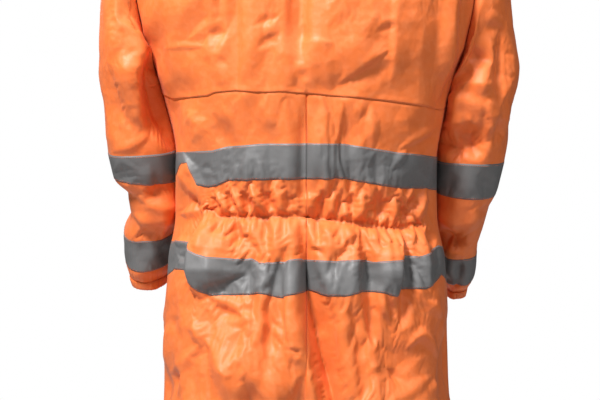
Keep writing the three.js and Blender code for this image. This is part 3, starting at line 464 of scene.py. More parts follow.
SLEEVE_FRONT_CREASES = (
    (((272, -110), (262, -180), (240, -260)), -7, 12, 10),
    (((-274, -112), (-262, -190), (-238, -270)), -7, 10, 12),
    (((238, -130), (246, -220), (262, -300)), 5, 12, 12),
    (((-238, -136), (-248, -230), (-264, -310)), 5, 12, 12),
    (((276, -330), (246, -352), (214, -344)), 6, 9, 12),
    (((-276, -340), (-246, -364), (-214, -356)), 6, 12, 9),
    (((272, -368), (244, -382), (212, -372)), -5, 8, 8),
    (((-272, -380), (-244, -394), (-212, -384)), -5, 8, 8),
    (((256, -450), (232, -470), (206, -462)), 5, 8, 8), (((-252, -468), (-230, -488), (-206, -480)), 5, 8, 8),
    (((254, -500), (234, -514), (210, -508)), -4, 7, 7),
    (((-250, -518), (-230, -530), (-208, -524)), -4, 7, 7),
)
print("creases:", len(BACK_CREASES), len(FRONT_CREASES), len(LEG_CREASES))

# %% [markdown]
# ## Turning the creases into heights
# All points of a grid are handled at once. For each crease the distance to its line is found, the
# two widths scale it on its two sides, and a tent of that distance gives the height. The tent's top
# is very slightly rounded, as the cloth's own thickness rounds it. Small creases that nobody would
# place by hand come from a seeded table, and the finest crumple is a sum of zigzags in many
# directions: it cuts the cloth into flat facets that meet in straight, sharp lines.

# %% Heights of creases and crumples
def tent(q):
    """Height 1 at q = 0 falling in a straight line to 0 near q = 1.8, with both bends softened."""
    u = 1 - (np.sqrt(q * q + 0.03) - 0.173) / 1.8
    return 0.5 * (u + np.sqrt(u * u + 0.012)) - 0.003


def crease_heights(x, z, creases):
    """Sum over the creases of height x tent(distance / width), both shrinking to the line's ends."""
    total = np.zeros_like(x)
    for line, height, wide_a, wide_b in creases:
        line = np.array(line, float)
        reach = 3.2 * max(wide_a, wide_b)
        low, high = line.min(0) - reach, line.max(0) + reach
        near = (x > low[0]) & (x < high[0]) & (z > low[1]) & (z < high[1])
        if not near.any():
            continue
        at = np.stack([x[near], z[near]], -1)
        best = np.full(len(at), np.inf)
        side, along = np.zeros(len(at)), np.zeros(len(at))
        lengths = np.linalg.norm(np.diff(line, axis=0), axis=1)
        walked = np.concatenate([[0], np.cumsum(lengths)])
        for start, step, length, before in zip(line, np.diff(line, axis=0), lengths, walked):
            t = np.clip((at - start) @ step / length ** 2, 0, 1)
            away = at - start - t[:, None] * step
            distance = np.hypot(*away.T)
            closer = distance < best
            best = np.where(closer, distance, best)
            side = np.where(closer, away[:, 1] * step[0] - away[:, 0] * step[1], side)
            along = np.where(closer, (before + t * length) / walked[-1], along)
        ends = np.clip(along / 0.36, 0, 1) * np.clip((1 - along) / 0.36, 0, 1)
        width = np.where(side > 0, wide_a, wide_b) * (0.25 + 0.75 * ends)
        gain = (1 + 0.5 * np.exp(-abs(height) / 9)) * (1.5 if -535 < line[0, 1] < -436 else 1)
        total[near] += gain * height * ends * tent(best / width)
    return total


def small_creases(count, box, seed, high=1.6):
    """Random short creases in the box (x0, x1, z0, z1), most of them within 35 degrees of upright."""
    draw = np.random.default_rng(seed)
    x, z = draw.uniform(*box[:2], count), draw.uniform(*box[2:], count)
    lean, length = np.radians(draw.normal(0, 34, count)), draw.uniform(22, 66, count)
    bend = draw.uniform(-0.18, 0.18, count) * length
    height = draw.choice([-1, 1], count) * draw.uniform(0.35, 1, count) * high
    wide = draw.uniform(3.5, 10, (count, 2))
    dx, dz = np.sin(lean) * length / 2, np.cos(lean) * length / 2
    return [(((x[i] - dx[i], z[i] + dz[i]), (x[i] + bend[i], z[i]), (x[i] + dx[i], z[i] - dz[i])),
             height[i], *wide[i]) for i in range(count)]


def zigzag(t):
    """A wave of straight pieces between -1 and 1, with its corners softened a little."""
    return 2 * np.arcsin(0.985 * np.sin(2 * np.pi * t)) / np.pi


def crumple(points, strength, seed=4):
    """The cloth as if it had been folded flat many times and shaken out: each fold adds a zigzag
    along its own direction, slightly bent, and only over some patches of the cloth. Where several
    meet, they cut it into flat facets with straight edges."""
    draw = np.random.default_rng(seed)
    height = np.zeros(points.shape[:-1])
    for length in (230, 190, 160, 140, 120, 104, 92, 80, 70, 60, 50):
        along, across, patch = unit(draw.normal(size=(3, 3)) * [1, 0.6, 0.75])
        bend = 0.16 * np.sin(points @ across / (0.45 * length) + draw.uniform(0, 6))
        bend = bend + 0.05 * np.sin(points @ patch / (0.17 * length) + draw.uniform(0, 6))
        where = smoothstep(np.sin(points @ patch / (0.62 * length) + draw.uniform(0, 6))
                           + 0.7 * np.sin(points @ across / (0.9 * length) + draw.uniform(0, 6)), -0.5, 0.9)
        height += where * (0.042 * length) * zigzag(points @ along / length + bend)
    return strength * height


# %% [markdown]
# ## The waist
# The elastic is stitched flat while it is stretched, so when it shrinks it nips the cloth in on one
# line and the spare width stands up in small uneven pleats that fan out above and below it. The
# larger pleats are in the table of creases. Here the line itself is drawn in, the cloth puffs out on
# both sides of it, and a fine crinkle rides along it.

# %% The line of the elastic
ELASTIC_FROM, ELASTIC_TO = 141, -164      # its two ends across the back
WAIST_LINE = np.array([(178, -470), (148, -470), (136, -472), (115, -482), (85, -482), (39, -481),
                       (8, -481), (-32, -486), (-71, -491), (-115, -497), (-132, -497),
                       (-148, -494), (-159, -493), (-174, -489)], float)[::-1]


def off_the_elastic(x, z):
    """Height above the waist line, and 1 where the elastic runs, 0 beyond its two ends."""
    on = (smoothstep(x, ELASTIC_TO - 6, ELASTIC_TO + 12)
          * smoothstep(-x, -ELASTIC_FROM - 5, -ELASTIC_FROM + 10))
    return z - np.interp(x, *WAIST_LINE.T), on


def waist_heights(x, z):
    """Groove on the waist line, puffs above and below it, and crinkles that die out with distance."""
    off, on = off_the_elastic(x, z)
    far = np.abs(off)
    below = off < 0
    puff = np.where(below, 7.0 * (1 - np.exp(-far / 12)) * np.exp(-far / 55),
                    4.0 * (1 - np.exp(-far / 10)) * np.exp(-far / 26))
    groove = -4.5 * np.exp(-far / 2.4)
    u = (x + 3.1 * np.sin(x / 21) + 2.4 * np.sin(x / 9.3 + 1) + 0.10 * off * np.sin(x / 31)) / 11.5
    size = (1.0 + 0.55 * np.sin(x / 17 + 2)) * (1 - np.exp(-far / 3)) * np.exp(-far / 15)
    return on * (puff + groove + 3.4 * size * zigzag(u) + 0.5 * np.exp(-far / 3) * zigzag(2 * u))


def seam_groove(x, z):
    """The centre back seam turns both panels in over the last few millimetres below the yoke."""
    seam = np.interp(x, *YOKE_SEAM.T)
    return -1.7 * np.exp(-np.abs(x) / 1.6) * smoothstep(seam - z, -1, 1)

# %% [markdown]
# ## Rows of cloth
# The panels meet, and the reflective bands lie, along lines that run round the body. On the back
# each line is drawn point by point, because the pleats carry it up and down; round the sides and
# across the front it is a smooth curve between its heights at the seams. Every panel is a grid
# whose rows are laid between those lines, and the bands are cut from the same rows, so a band
# follows each fold of the cloth under it.

# %% Lines across the back and their heights at the seams
YOKE_SEAM = np.array([(187, -321), (159, -320), (134, -319), (123, -315), (94, -313), (66, -316),
                      (29, -315), (13, -317), (1, -317), (-31, -320), (-71, -323), (-115, -327),
                      (-151, -331), (-190, -335)], float)[::-1]
BACK_LINES = {
    "yoke_seam": YOKE_SEAM,
    "upper_tape_top": [(165, -393), (130, -392), (110, -387), (63, -384), (3, -383), (-51, -384),
                       (-85, -389), (-125, -395), (-176, -399)],
    "upper_tape_bottom": [(168, -409), (160, -409), (154, -424), (148, -439), (136, -442),
                          (124, -440), (106, -433), (77, -433), (3, -431), (-51, -431),
                          (-85, -437), (-125, -443), (-169, -443)],
    "waist": WAIST_LINE,
    "lower_tape_top": [(182, -515), (150, -517), (146, -526), (137, -531), (125, -535), (83, -538),
                       (74, -537), (60, -542), (15, -539), (-3, -539), (-75, -539), (-92, -541),
                       (-121, -539), (-125, -534), (-147, -535), (-162, -530), (-183, -522)],
    "lower_tape_bottom": [(181, -554), (152, -555), (148, -574), (141, -582), (131, -587),
                          (96, -586), (60, -584), (32, -588), (9, -584), (-3, -580), (-24, -586),
                          (-53, -586), (-71, -582), (-92, -582), (-117, -587), (-121, -579),
                          (-153, -579), (-183, -562)],
}
# height at the centre back, the left and the right side seam, the centre front
ROWS = {
    "yoke_seam": (-317, -312, -328, -322), "upper_tape_top": (-383, -392, -398, -385),
    "upper_tape_bottom": (-433, -442, -448, -435), "waist": (-480, -472, -495, -481),
    "lower_tape_top": (-538, -519, -527, -538), "lower_tape_bottom": (-586, -567, -575, -586),
    "zip_end": (ZIP_END, ZIP_END, ZIP_END, ZIP_END), "crotch": (CROTCH, -862, -862, CROTCH),
    "thigh": (-930, -950, -950, -930), "knee": (-1090, -1090, -1090, -1090),
    "hem_fold": (HEM + 22, HEM + 22, HEM + 22, HEM + 22), "hem": (HEM, HEM, HEM, HEM),
}
ARMPIT_CENTRE = {1: -268, -1: -200}      # where the row through the armpits crosses the centre


def row_line(name, side, face, s):
    """Height of a named line at each share s: drawn on the back, a smooth blend on the front."""
    back, left, right, front = ROWS[name]
    end = left if side > 0 else right
    if face > 0 and name in BACK_LINES:
        x = body_points(side, face, s, np.full_like(s, back))[0][:, 0]
        line = sorted([*map(tuple, BACK_LINES[name]), (199, left), (-199, right)])
        return np.interp(x, *np.array(line, float).T)
    return lerp(back if face > 0 else front, end, s * s * (3 - 2 * s))


def shares(count):
    """Shares from 0 to 1, with a few close ones at both ends, where the seams turn in."""
    return np.concatenate([[0, 0.004, 0.010], np.linspace(0.02, 0.98, count - 5), [0.990, 0.996, 1]])


def rows_between(lines, spacing):
    """Rows laid evenly between each pair of lines, spaced as given. Returns them and the number
    of the row on each line."""
    rows, at = [lines[0][None]], [0]
    for above, below, space in zip(lines, lines[1:], spacing):
        count = max(1, int(np.ceil(np.abs(above - below).mean() / space)))
        steps = np.arange(1, count + 1)[:, None] / count
        rows.append(lerp(above, below, steps))
        at.append(at[-1] + count)
    return np.concatenate(rows), at


def upper_rows(side, face, share, spacing):
    """Shares and heights above the armpit, blended from four edges: the neck, the centre line,
    the row through the armpit, and the armhole with the shoulder seam."""
    rows = int(round(250 / spacing / 10)) * 10
    up = np.linspace(0, 1, rows + 1)[::-1, None]
    centre = ARMPIT_CENTRE[face]
    low = lerp(centre, ARMPIT[side], share * share * (3 - 2 * share))
    turn = share * np.pi / 2
    neck_z = (NECK_BACK if face > 0 else NECK_FRONT) * np.cos(turn) ** 2
    half, _, _, _, last = section(side, face, neck_z)
    neck_s = np.arcsin(np.clip((NECK_HALF * np.sin(turn) / half) ** (1 / ROUND), 0, 1)) / last
    armhole = lerp(ARMPIT[side], SHOULDER[1], (1 - np.cos(np.pi * np.minimum(up / 0.7, 1))) / 2)
    edge = np.where(up <= 0.7, armhole, lerp(SHOULDER[1], 0, (up - 0.7) / 0.3))
    z = lerp(low, neck_z, up) + share * (edge - lerp(ARMPIT[side], 0, up))
    return lerp(share, neck_s, up), z


# %% [markdown]
# ## From the smooth form to the hanging cloth
# Every point of the form is pushed along the section's own way out by the sum of the heights:
# creases and pleats where the cloth faces back or front, crumple everywhere. Near the seams that
# turn in, the last millimetres dip. The crumple is a little stronger on the seat and calmer down
# the legs.

# %% The hanging cloth of the body
RANDOM = {
    1: (small_creases(80, (-195, 195, -760, -90), 5, 1.1)
        + small_creases(90, (-200, 200, -1560, -760), 6, 1.8)),
    -1: (small_creases(120, (-200, 200, -760, -110), 7, 2.2)
         + small_creases(90, (-200, 200, -1560, -760), 8, 1.8)),
}
PANEL = 235            # length of a quarter section, which turns a share into a distance
NARROW_CREASE = 5.5    # a crease with a side narrower than this keeps part of its height crisp
ELASTIC_PRESS = 5      # how far from the elastic the cloth is still pressed flat
SEAM_FADE = 14         # creases fade in over this distance from the side seam


def turned_in(s, seams):
    """Dip of the edges that a seam turns in: exp(-distance to the seam / 1.5)."""
    dip = 0.0
    for seam in seams:
        dip = dip - 1.0 * np.exp(-np.abs(s - seam) * PANEL / 1.5)
    return dip


def hang(side, face, s, z, seams=(), extra=0.0):
    """The cloth's middle: smooth form + way out x (facing x creases + crumple + seams). Returns it
    with the way out, how firmly each fold is to be kept (0 to 1, the deep ones), and the flat
    facets of the crumple with the narrowest creases, for adding when the cloth has settled."""
    points, out = body_points(side, face, s, z)
    x, facing = points[..., 0], smoothstep(np.abs(out[..., 1]), 0.1, 0.55)
    creases = (BACK_CREASES if face > 0 else FRONT_CREASES) + LEG_CREASES
    height = crease_heights(x, z, creases) + crease_heights(x, z, RANDOM[face])
    crisp = 0.4 * facing * crease_heights(x, z, [row for row in creases if min(row[2:]) < NARROW_CREASE])
    if face > 0:
        off, on = off_the_elastic(x, z)
        flat = 1 - 0.85 * on * np.exp(-(off / ELASTIC_PRESS) ** 2)
        crisp = crisp * flat
        height = height * flat + waist_heights(x, z) + seam_groove(x, z)
    strength = 0.65 + 0.1 * smoothstep(-z, 560, 640) - 0.45 * smoothstep(-z, 730, 860)
    beside_sleeve = smoothstep(-z, 240, 300) * smoothstep(z, -640, -600) * (1 - facing)
    kept = smoothstep(facing * np.abs(height), 1.5, 10)
    height, crisp = facing * height, crisp + crumple(points, strength) * (1 - 0.8 * beside_sleeve)
    inward = smoothstep((1 - s) * PANEL, 0, SEAM_FADE)
    height = height * inward + turned_in(s, seams) + extra
    return points + out * height[..., None], out, kept, out * (crisp * inward)[..., None]


def hem_lift(z):
    """The hem is folded up double: a small step outwards over its 22 mm, and a dip at its stitches."""
    return 0.45 * smoothstep(HEM + 24 - z, 0, 3) - 0.7 * np.exp(-((z - HEM - 22) / 2.5) ** 2)


# %% [markdown]
# ## Settling the cloth
# Heights alone make soft dents, because they stretch the sheet, and this cloth doesn't stretch. A
# short relaxation spreads that stretch. The shoulders are eased first, so that no edge is left at
# the top of the armhole. Then every edge of the grid is given a length to keep, its present length
# evened out over a few centimetres plus a little spare, and the points are moved again and again
# until their edges have those lengths, while a weak pull holds them near the folds given in the tables.
# Longer, softer links resist sharp bends. The borders stay where they are, so panels still meet.
# The flat facets of the crumple are added afterwards, because the relaxation would round them.

# %% Relaxation of a grid
def evened(values, reach):
    """Values averaged over 2 reach + 1 neighbours both ways, with the borders repeated."""
    for axis in (0, 1):
        pad = [(reach + 1, reach) if a == axis else (0, 0) for a in (0, 1)]
        total = np.cumsum(np.pad(values, pad, mode="edge"), axis)
        upper, lower = [slice(None)] * 2, [slice(None)] * 2
        upper[axis], lower[axis] = slice(2 * reach + 1, None), slice(0, -2 * reach - 1)
        values = (total[tuple(upper)] - total[tuple(lower)]) / (2 * reach + 1)
    return values


def eased(grid, amount, loops=160):
    """Inner points moved again and again towards the mean of their four neighbours, by amount."""
    grid = grid.copy()
    for _ in range(loops):
        mean = (grid[2:, 1:-1] + grid[:-2, 1:-1] + grid[1:-1, 2:] + grid[1:-1, :-2]) / 4
        grid[1:-1, 1:-1] += amount[1:-1, 1:-1, None] * (mean - grid[1:-1, 1:-1])
    return grid


def links(shape, down, across):
    """Pairs of index blocks that are (down, across) apart, in two lots that share no point."""
    rows, columns = shape
    i, j = np.meshgrid(np.arange(rows - down), np.arange(max(0, -across), columns - max(0, across)),
                       indexing="ij")
    first = (i * columns + j).ravel()
    second = ((i + down) * columns + j + across).ravel()
    lot = (i // down % 2 if down else j // abs(across) % 2).ravel()
    return [(first[lot == k], second[lot == k]) for k in (0, 1)]


def settle(points, smooth, kept, spare=0.004, hold=0.0, loops=80, border=8.0, closed=False):
    """The grid with its edges brought to evened lengths, the rows longer by spare. The last border
    millimetres stay put, and so does the cloth where hold is 1; kept guards the folds given in the tables."""
    if closed:          # two turns' ends overlap by some columns, which are averaged away after
        wrap = 12
        around = [np.concatenate([grid[:, -wrap:], grid, grid[:, :wrap]], 1)
                  for grid in (points, smooth, kept)]
        return settle(*around, spare, hold, loops, border)[:, wrap:-wrap]
    shape = points.shape[:2]
    flat, form = points.reshape(-1, 3).copy(), smooth.reshape(-1, 3)
    target = flat.copy()

    def edge_distance(grid, axis):
        step = np.linalg.norm(np.diff(grid, axis=axis), axis=-1).mean(1 - axis)
        walked = np.concatenate([[0], np.cumsum(step)])
        return np.minimum(walked, walked[-1] - walked)

    near = np.minimum(edge_distance(smooth, 0)[:, None], edge_distance(smooth, 1)[None])
    weight = (smoothstep(near, border, border + 5) * (1 - hold) * (1 - kept ** 3)).ravel()
    spare = np.broadcast_to(spare, shape)
    pull = weight * (0.010 + 0.12 * kept.ravel())
    lots = []
    for down, across, firmness in ((0, 1, 1.0), (1, 0, 1.0), (1, 1, 0.7), (1, -1, 0.7),
                                   (0, 2, 0.20), (2, 0, 0.12), (0, 5, 0.07), (5, 0, 0.04)):
        for first, second in links(shape, down, across):
            lots.append((first, second, firmness, down, across))
    # how much longer the creased cloth is than the smooth form, along rows and along columns
    stretch = []
    for axis in (0, 1):
        now = np.linalg.norm(np.diff(points, axis=axis), axis=-1)
        was = np.linalg.norm(np.diff(smooth, axis=axis), axis=-1)
        firm = (kept[:-1] if axis == 0 else kept[:, :-1]) ** 3
        ratio = evened(now, 20) / evened(was, 20)
        if axis == 0:
            ratio = np.minimum(ratio, 1.01 + 4 * spare[:-1])
        ratio = lerp(ratio, evened(now, 2) / evened(was, 2), firm)
        ratio = np.concatenate([ratio, ratio[-1:] if axis == 0 else ratio[:, -1:]], axis)
        stretch.append((ratio * (1 + spare * (0.4 + 0.6 * axis))).ravel())
    plans = []
    for first, second, firmness, down, across in lots:
        gap = form[second] - form[first]
        length = np.linalg.norm(gap, axis=-1)
        share_down = down / (down + abs(across))
        grown = (stretch[0][first] * share_down + stretch[1][first] * (1 - share_down))
        total = np.maximum(weight[first] + weight[second], 1e-6)
        plans.append((first, second, firmness, length * grown, weight[first] / total,
                      weight[second] / total, max(down, abs(across)) > 1))
    for _ in range(loops):
        flat += pull[:, None] * (target - flat)
        for first, second, firmness, length, part_a, part_b, only_push in plans:
            gap = flat[second] - flat[first]
            now = np.maximum(np.linalg.norm(gap, axis=-1), 1e-6)
            change = (now - length) / now * firmness
            if only_push:
                change = np.minimum(change, 0)
            flat[first] += gap * (change * part_a)[:, None]
            flat[second] -= gap * (change * part_b)[:, None]
    return flat.reshape(points.shape)

# %% [markdown]
# ## Finishes first
# The cloth is a woven polyester with a coloured coating on its face: even in colour, with a satin
# shine that a fine crinkle breaks up, and a weave that only shows close by. The reflective band is
# a grey film full of tiny glass beads. Two shader node groups hold what several materials share:
# a weave, read from the map that follows the cloth, and a crinkle, read from the object's own
# coordinates. Each material places them with its own values.

# %% Shared node groups
def node_group(name, inputs, outputs):
    """A new shader node group with named sockets, and its input and output nodes."""
    group = bpy.data.node_groups.new(name, "ShaderNodeTree")
    for socket, kind, value in inputs:
        made = group.interface.new_socket(socket, in_out="INPUT", socket_type=kind)
        if value is not None:
            made.default_value = value
    for socket, kind in outputs:
        group.interface.new_socket(socket, in_out="OUTPUT", socket_type=kind)
    return group, group.nodes.new("NodeGroupInput"), group.nodes.new("NodeGroupOutput")


def add(tree, kind, links=(), **settings):
    """A node of the given kind. Settings are its properties, or its sockets when they start with
    in_; links are (socket, output) pairs that feed it."""
    node = tree.nodes.new(kind)
    for key, value in settings.items():
        if key.startswith("in_"):
            socket = key[3:]
            node.inputs[int(socket) if socket.isdigit() else socket.replace("_", " ")].default_value = value
        else:
            setattr(node, key, value)
    for socket, output in links:
        tree.links.new(output, node.inputs[socket])
    return node


def weave_group():
    """Threads over and under: two waves across each other, multiplied into a height."""
    group, inside, outside = node_group(
        "weave", [("Vector", "NodeSocketVector", None), ("Threads per Metre", "NodeSocketFloat", 1600.0)],
        [("Height", "NodeSocketFloat")])
    scaled = add(group, "ShaderNodeVectorMath", [(0, inside.outputs["Vector"])], operation="SCALE")
    group.links.new(inside.outputs["Threads per Metre"], scaled.inputs["Scale"])
    split = add(group, "ShaderNodeSeparateXYZ", [(0, scaled.outputs[0])])
    waves = [add(group, "ShaderNodeMath", [(0, split.outputs[axis])], operation="SINE") for axis in (0, 1)]
    both = add(group, "ShaderNodeMath", [(0, waves[0].outputs[0]), (1, waves[1].outputs[0])],
               operation="MULTIPLY")
    group.links.new(both.outputs[0], outside.inputs["Height"])
    return group


def crinkle_group():
    """Fine crumple of a coated cloth: ridges of a stretched noise plus a finer one, as a height
    and as a mask of the finer noise's crests, which every material makes rougher and coated cloth also paints
    with a pale sheen."""
    group, inside, outside = node_group(
        "crinkle", [("Vector", "NodeSocketVector", None), ("Scale", "NodeSocketFloat", 30.0),
                    ("Fine", "NodeSocketFloat", 0.4)],
        [("Height", "NodeSocketFloat"), ("Crests", "NodeSocketFloat")])
    cells = add(group, "ShaderNodeTexVoronoi", [("Vector", inside.outputs["Vector"]),
                                                ("Scale", inside.outputs["Scale"])],
                feature="F1", distance="MINKOWSKI", in_Exponent=1.4)
    bend = add(group, "ShaderNodeTexNoise", [("Vector", inside.outputs["Vector"]),
                                             ("Scale", inside.outputs["Scale"])],
               in_Detail=6.0, in_Roughness=0.55, in_Distortion=0.8)
    fine = add(group, "ShaderNodeMath", [(0, bend.outputs["Fac"]), (1, inside.outputs["Fine"])],
               operation="MULTIPLY")
    height = add(group, "ShaderNodeMath", [(0, cells.outputs["Distance"]), (1, fine.outputs[0])],
                 operation="ADD")
    # Crests of the finer noise: every material makes them rougher, and coated cloth also paints a pale sheen
    # on them.
    crest_mask = add(group, "ShaderNodeMapRange", [("Value", bend.outputs["Fac"])],
                 **{"in_From_Min": 0.42, "in_From_Max": 0.72})
    group.links.new(height.outputs[0], outside.inputs["Height"])
    group.links.new(crest_mask.outputs[0], outside.inputs["Crests"])
    return group


WEAVE, CRINKLE = weave_group(), crinkle_group()


def use(tree, group, links, **values):
    """A shared group placed in a material, with its own values."""
    node = tree.nodes.new("ShaderNodeGroup")
    node.node_tree = group
    for key, value in values.items():
        node.inputs[key.replace("_", " ")].default_value = value
    for socket, output in links:
        tree.links.new(output, node.inputs[socket])
    return node


def new_material(name, **settings):
    """A material with a Principled shader set as given, its tree and the shader."""
    material = bpy.data.materials.new(name)
    material.use_nodes = True
    shader = material.node_tree.nodes["Principled BSDF"]
    for key, value in settings.items():
        shader.inputs[key.replace("_", " ")].default_value = value
    return material, material.node_tree, shader


# %% The coated cloth and the reflective band
def coated_cloth(name, light, dark, roughness, sheen):
    """Colour mixed from two shades by a broad noise, with a painted sheen of pale orange on the crinkle's
    crests, crinkled and woven.
    """
    material, tree, shader = new_material(name, Roughness=roughness, Specular_IOR_Level=0.36,
                                          Sheen_Weight=sheen, Sheen_Roughness=0.5)
    place = tree.nodes.new("ShaderNodeTexCoord")
    broad = add(tree, "ShaderNodeTexNoise", [("Vector", place.outputs["Object"])],
                in_Scale=7.0, in_Detail=4.0, in_Roughness=0.6)
    crinkle = use(tree, CRINKLE, [("Vector", place.outputs["Object"])], Scale=90.0, Fine=0.6)
    weave = use(tree, WEAVE, [("Vector", place.outputs["UV"])], Threads_per_Metre=9500.0)
    shade = add(tree, "ShaderNodeMix", [(0, broad.outputs["Fac"])], data_type="RGBA",
                in_6=(*dark, 1), in_7=(*light, 1))
    # Painted sheen: on the crinkle's crests the colour is mixed a tenth of the way to a pale orange, the
    # colour of the cloth's highlights.
    painted_sheen = add(tree, "ShaderNodeMath", [(0, crinkle.outputs["Crests"])], operation="MULTIPLY", in_1=0.10)
    colour = add(tree, "ShaderNodeMix", [(0, painted_sheen.outputs[0]), (6, shade.outputs[2])],
                 data_type="RGBA", in_7=(0.95, 0.42, 0.20, 1))
    tree.links.new(colour.outputs[2], shader.inputs["Base Color"])
    rough = add(tree, "ShaderNodeMapRange", [("Value", crinkle.outputs["Crests"])],
                in_To_Min=roughness - 0.06, in_To_Max=roughness + 0.08)
    tree.links.new(rough.outputs[0], shader.inputs["Roughness"])
    first = add(tree, "ShaderNodeBump", [("Height", weave.outputs["Height"])],
                in_Strength=0.10, in_Distance=0.0002)
    second = add(tree, "ShaderNodeBump", [("Height", crinkle.outputs["Height"]),
                                          ("Normal", first.outputs[0])],
                 in_Strength=0.22, in_Distance=0.0016)
    tree.links.new(second.outputs[0], shader.inputs["Normal"])
    return material


def beaded_film(name, colour):
    """Grey film with beads: fine cells in height and shade, and a faint streak along the band."""
    material, tree, shader = new_material(name, Roughness=0.55, Metallic=0.1, Specular_IOR_Level=0.4)
    place = tree.nodes.new("ShaderNodeTexCoord")
    beads = add(tree, "ShaderNodeTexVoronoi", [("Vector", place.outputs["UV"])], in_Scale=1500.0)
    crinkle = use(tree, CRINKLE, [("Vector", place.outputs["Object"])], Scale=120.0, Fine=0.5)
    shade = add(tree, "ShaderNodeMapRange", [("Value", beads.outputs["Distance"])],
                in_To_Min=1.06, in_To_Max=0.92)
    streak = add(tree, "ShaderNodeTexNoise", [("Vector", place.outputs["Object"])],
                 in_Scale=24.0, in_Detail=5.0)
    both = add(tree, "ShaderNodeMapRange", [("Value", streak.outputs["Fac"])],
               in_To_Min=0.90, in_To_Max=1.10)
    total = add(tree, "ShaderNodeMath", [(0, shade.outputs[0]), (1, both.outputs[0])], operation="MULTIPLY")
    tint = add(tree, "ShaderNodeVectorMath", [(3, total.outputs[0])], operation="SCALE", in_0=colour)
    tree.links.new(tint.outputs[0], shader.inputs["Base Color"])
    rough = add(tree, "ShaderNodeMapRange", [("Value", crinkle.outputs["Crests"])],
                in_To_Min=0.52, in_To_Max=0.64)
    tree.links.new(rough.outputs[0], shader.inputs["Roughness"])
    first = add(tree, "ShaderNodeBump", [("Height", beads.outputs["Distance"])],
                in_Strength=0.12, in_Distance=0.0001)
    second = add(tree, "ShaderNodeBump", [("Height", crinkle.outputs["Height"]),
                                          ("Normal", first.outputs[0])],
                 in_Strength=0.12, in_Distance=0.0012)
    tree.links.new(second.outputs[0], shader.inputs["Normal"])
    return material


LOOKS = {
    "shell": coated_cloth("coated orange cloth", (0.80, 0.176, 0.038), (0.76, 0.154, 0.030), 0.55, 0.04),
    "tape": beaded_film("grey reflective film", (0.150, 0.147, 0.146)),
    # The thread is darker than the cloth: partly its own colour, partly painted shade standing for the shadow
    # in the grooves where the stitches lie, most of all along the waist.
    "thread": coated_cloth("orange thread", (0.72, 0.12, 0.02), (0.60, 0.09, 0.015), 0.6, 0.1),
    "elastic": coated_cloth("white elastic", (0.72, 0.70, 0.66), (0.62, 0.60, 0.56), 0.85, 0.1),
    "zip": coated_cloth("woven zip tape", (0.70, 0.13, 0.03), (0.62, 0.10, 0.02), 0.7, 0.1),
    "teeth": coated_cloth("moulded zip teeth", (0.74, 0.13, 0.03), (0.68, 0.11, 0.02), 0.38, 0.0),
}
print("materials:", sorted(LOOKS))

# %% [markdown]
# ## Sheets with two faces
# Real cloth has an inside as well, and here it can be seen down the neck, the cuffs and the legs. So
# each panel becomes a closed shell: the middle surface moved half a wall outwards and half a wall
# inwards along its own normals, joined round the rim. The normals are worked out from the finished,
# creased grid, so the wall keeps its thickness in every fold.

# %% Making meshes
def grid_normals(grid, outward, closed=False):
    """Cross product of the grid's two directions, turned to the side that outward points to."""
    if closed:
        around = np.roll(grid, -1, 1) - np.roll(grid, 1, 1)
    else:
        around = np.gradient(grid, axis=1)
    normal = unit(np.cross(np.gradient(grid, axis=0), around))
    return normal * np.sign((normal * outward).sum(-1).mean())


def signed_volume(points, faces):
    """Sum of the tetrahedra between the origin and the triangles of each face."""
    first, *rest = points[faces].swapaxes(0, 1)
    return sum((np.cross(first, b) * c).sum() for b, c in zip(rest, rest[1:])) / 6


def make_object(name, points, faces, look, uv=None, smooth=True):
    """A mesh object in metres from points in millimetres and faces of one size, turned outwards.
    smooth is one value for all faces or one for each."""
    if signed_volume(points, faces) < 0:
        faces = faces[:, ::-1]
    mesh = bpy.data.meshes.new(name)
    mesh.vertices.add(len(points))
    mesh.vertices.foreach_set("co", (points * MM).ravel())
    mesh.loops.add(faces.size)
    mesh.loops.foreach_set("vertex_index", np.ascontiguousarray(faces).ravel())
    mesh.polygons.add(len(faces))
    mesh.polygons.foreach_set("loop_start", np.arange(0, faces.size, faces.shape[1]))
    mesh.polygons.foreach_set("use_smooth", np.broadcast_to(smooth, len(faces)))
    mesh.update(calc_edges=True)
    if uv is not None:
        layer = mesh.uv_layers.new(name="cloth")
        layer.data.foreach_set("uv", uv[faces.ravel()].ravel())
    mesh.materials.append(LOOKS[look])
    piece = bpy.data.objects.new(name, mesh)
    bpy.context.scene.collection.objects.link(piece)
    return piece


def shell_faces(rows, columns, closed):
    """Quads of the outer layer, of the inner layer the other way round, and of the rims."""
    count = rows * columns
    i, j = np.meshgrid(np.arange(rows - 1), np.arange(columns if closed else columns - 1), indexing="ij")
    i, j = i.ravel(), j.ravel()
    k = (j + 1) % columns
    outer = np.stack([i * columns + j, i * columns + k, (i + 1) * columns + k, (i + 1) * columns + j], 1)
    faces = [outer, outer[:, ::-1] + count]
    across = np.arange(columns if closed else columns - 1)
    following = (across + 1) % columns
    last = (rows - 1) * columns
    faces.append(np.stack([following, across, across + count, following + count], 1))
    faces.append(np.stack([across, following, following + count, across + count], 1) + last)
    if not closed:
        down = np.arange(rows - 1) * columns
        faces.append(np.stack([down, down + columns, down + columns + count, down + count], 1))
        edge = down + columns - 1
        faces.append(np.stack([edge + columns, edge, edge + count, edge + columns + count], 1))
    return np.concatenate(faces)


def cloth_map(grid):
    """Map in metres that follows the cloth: lengths along an average row and an average column."""
    across = np.linalg.norm(np.diff(grid, axis=1), axis=-1).mean(0)
    down = np.linalg.norm(np.diff(grid, axis=0), axis=-1).mean(1)
    u, v = np.concatenate([[0], np.cumsum(across)]), np.concatenate([[0], np.cumsum(down)])
    return np.stack(np.meshgrid(u, v), -1) * MM, u[-1], v[-1]


flat_cuts = {}            # width, length and area of each finished sheet, in metres


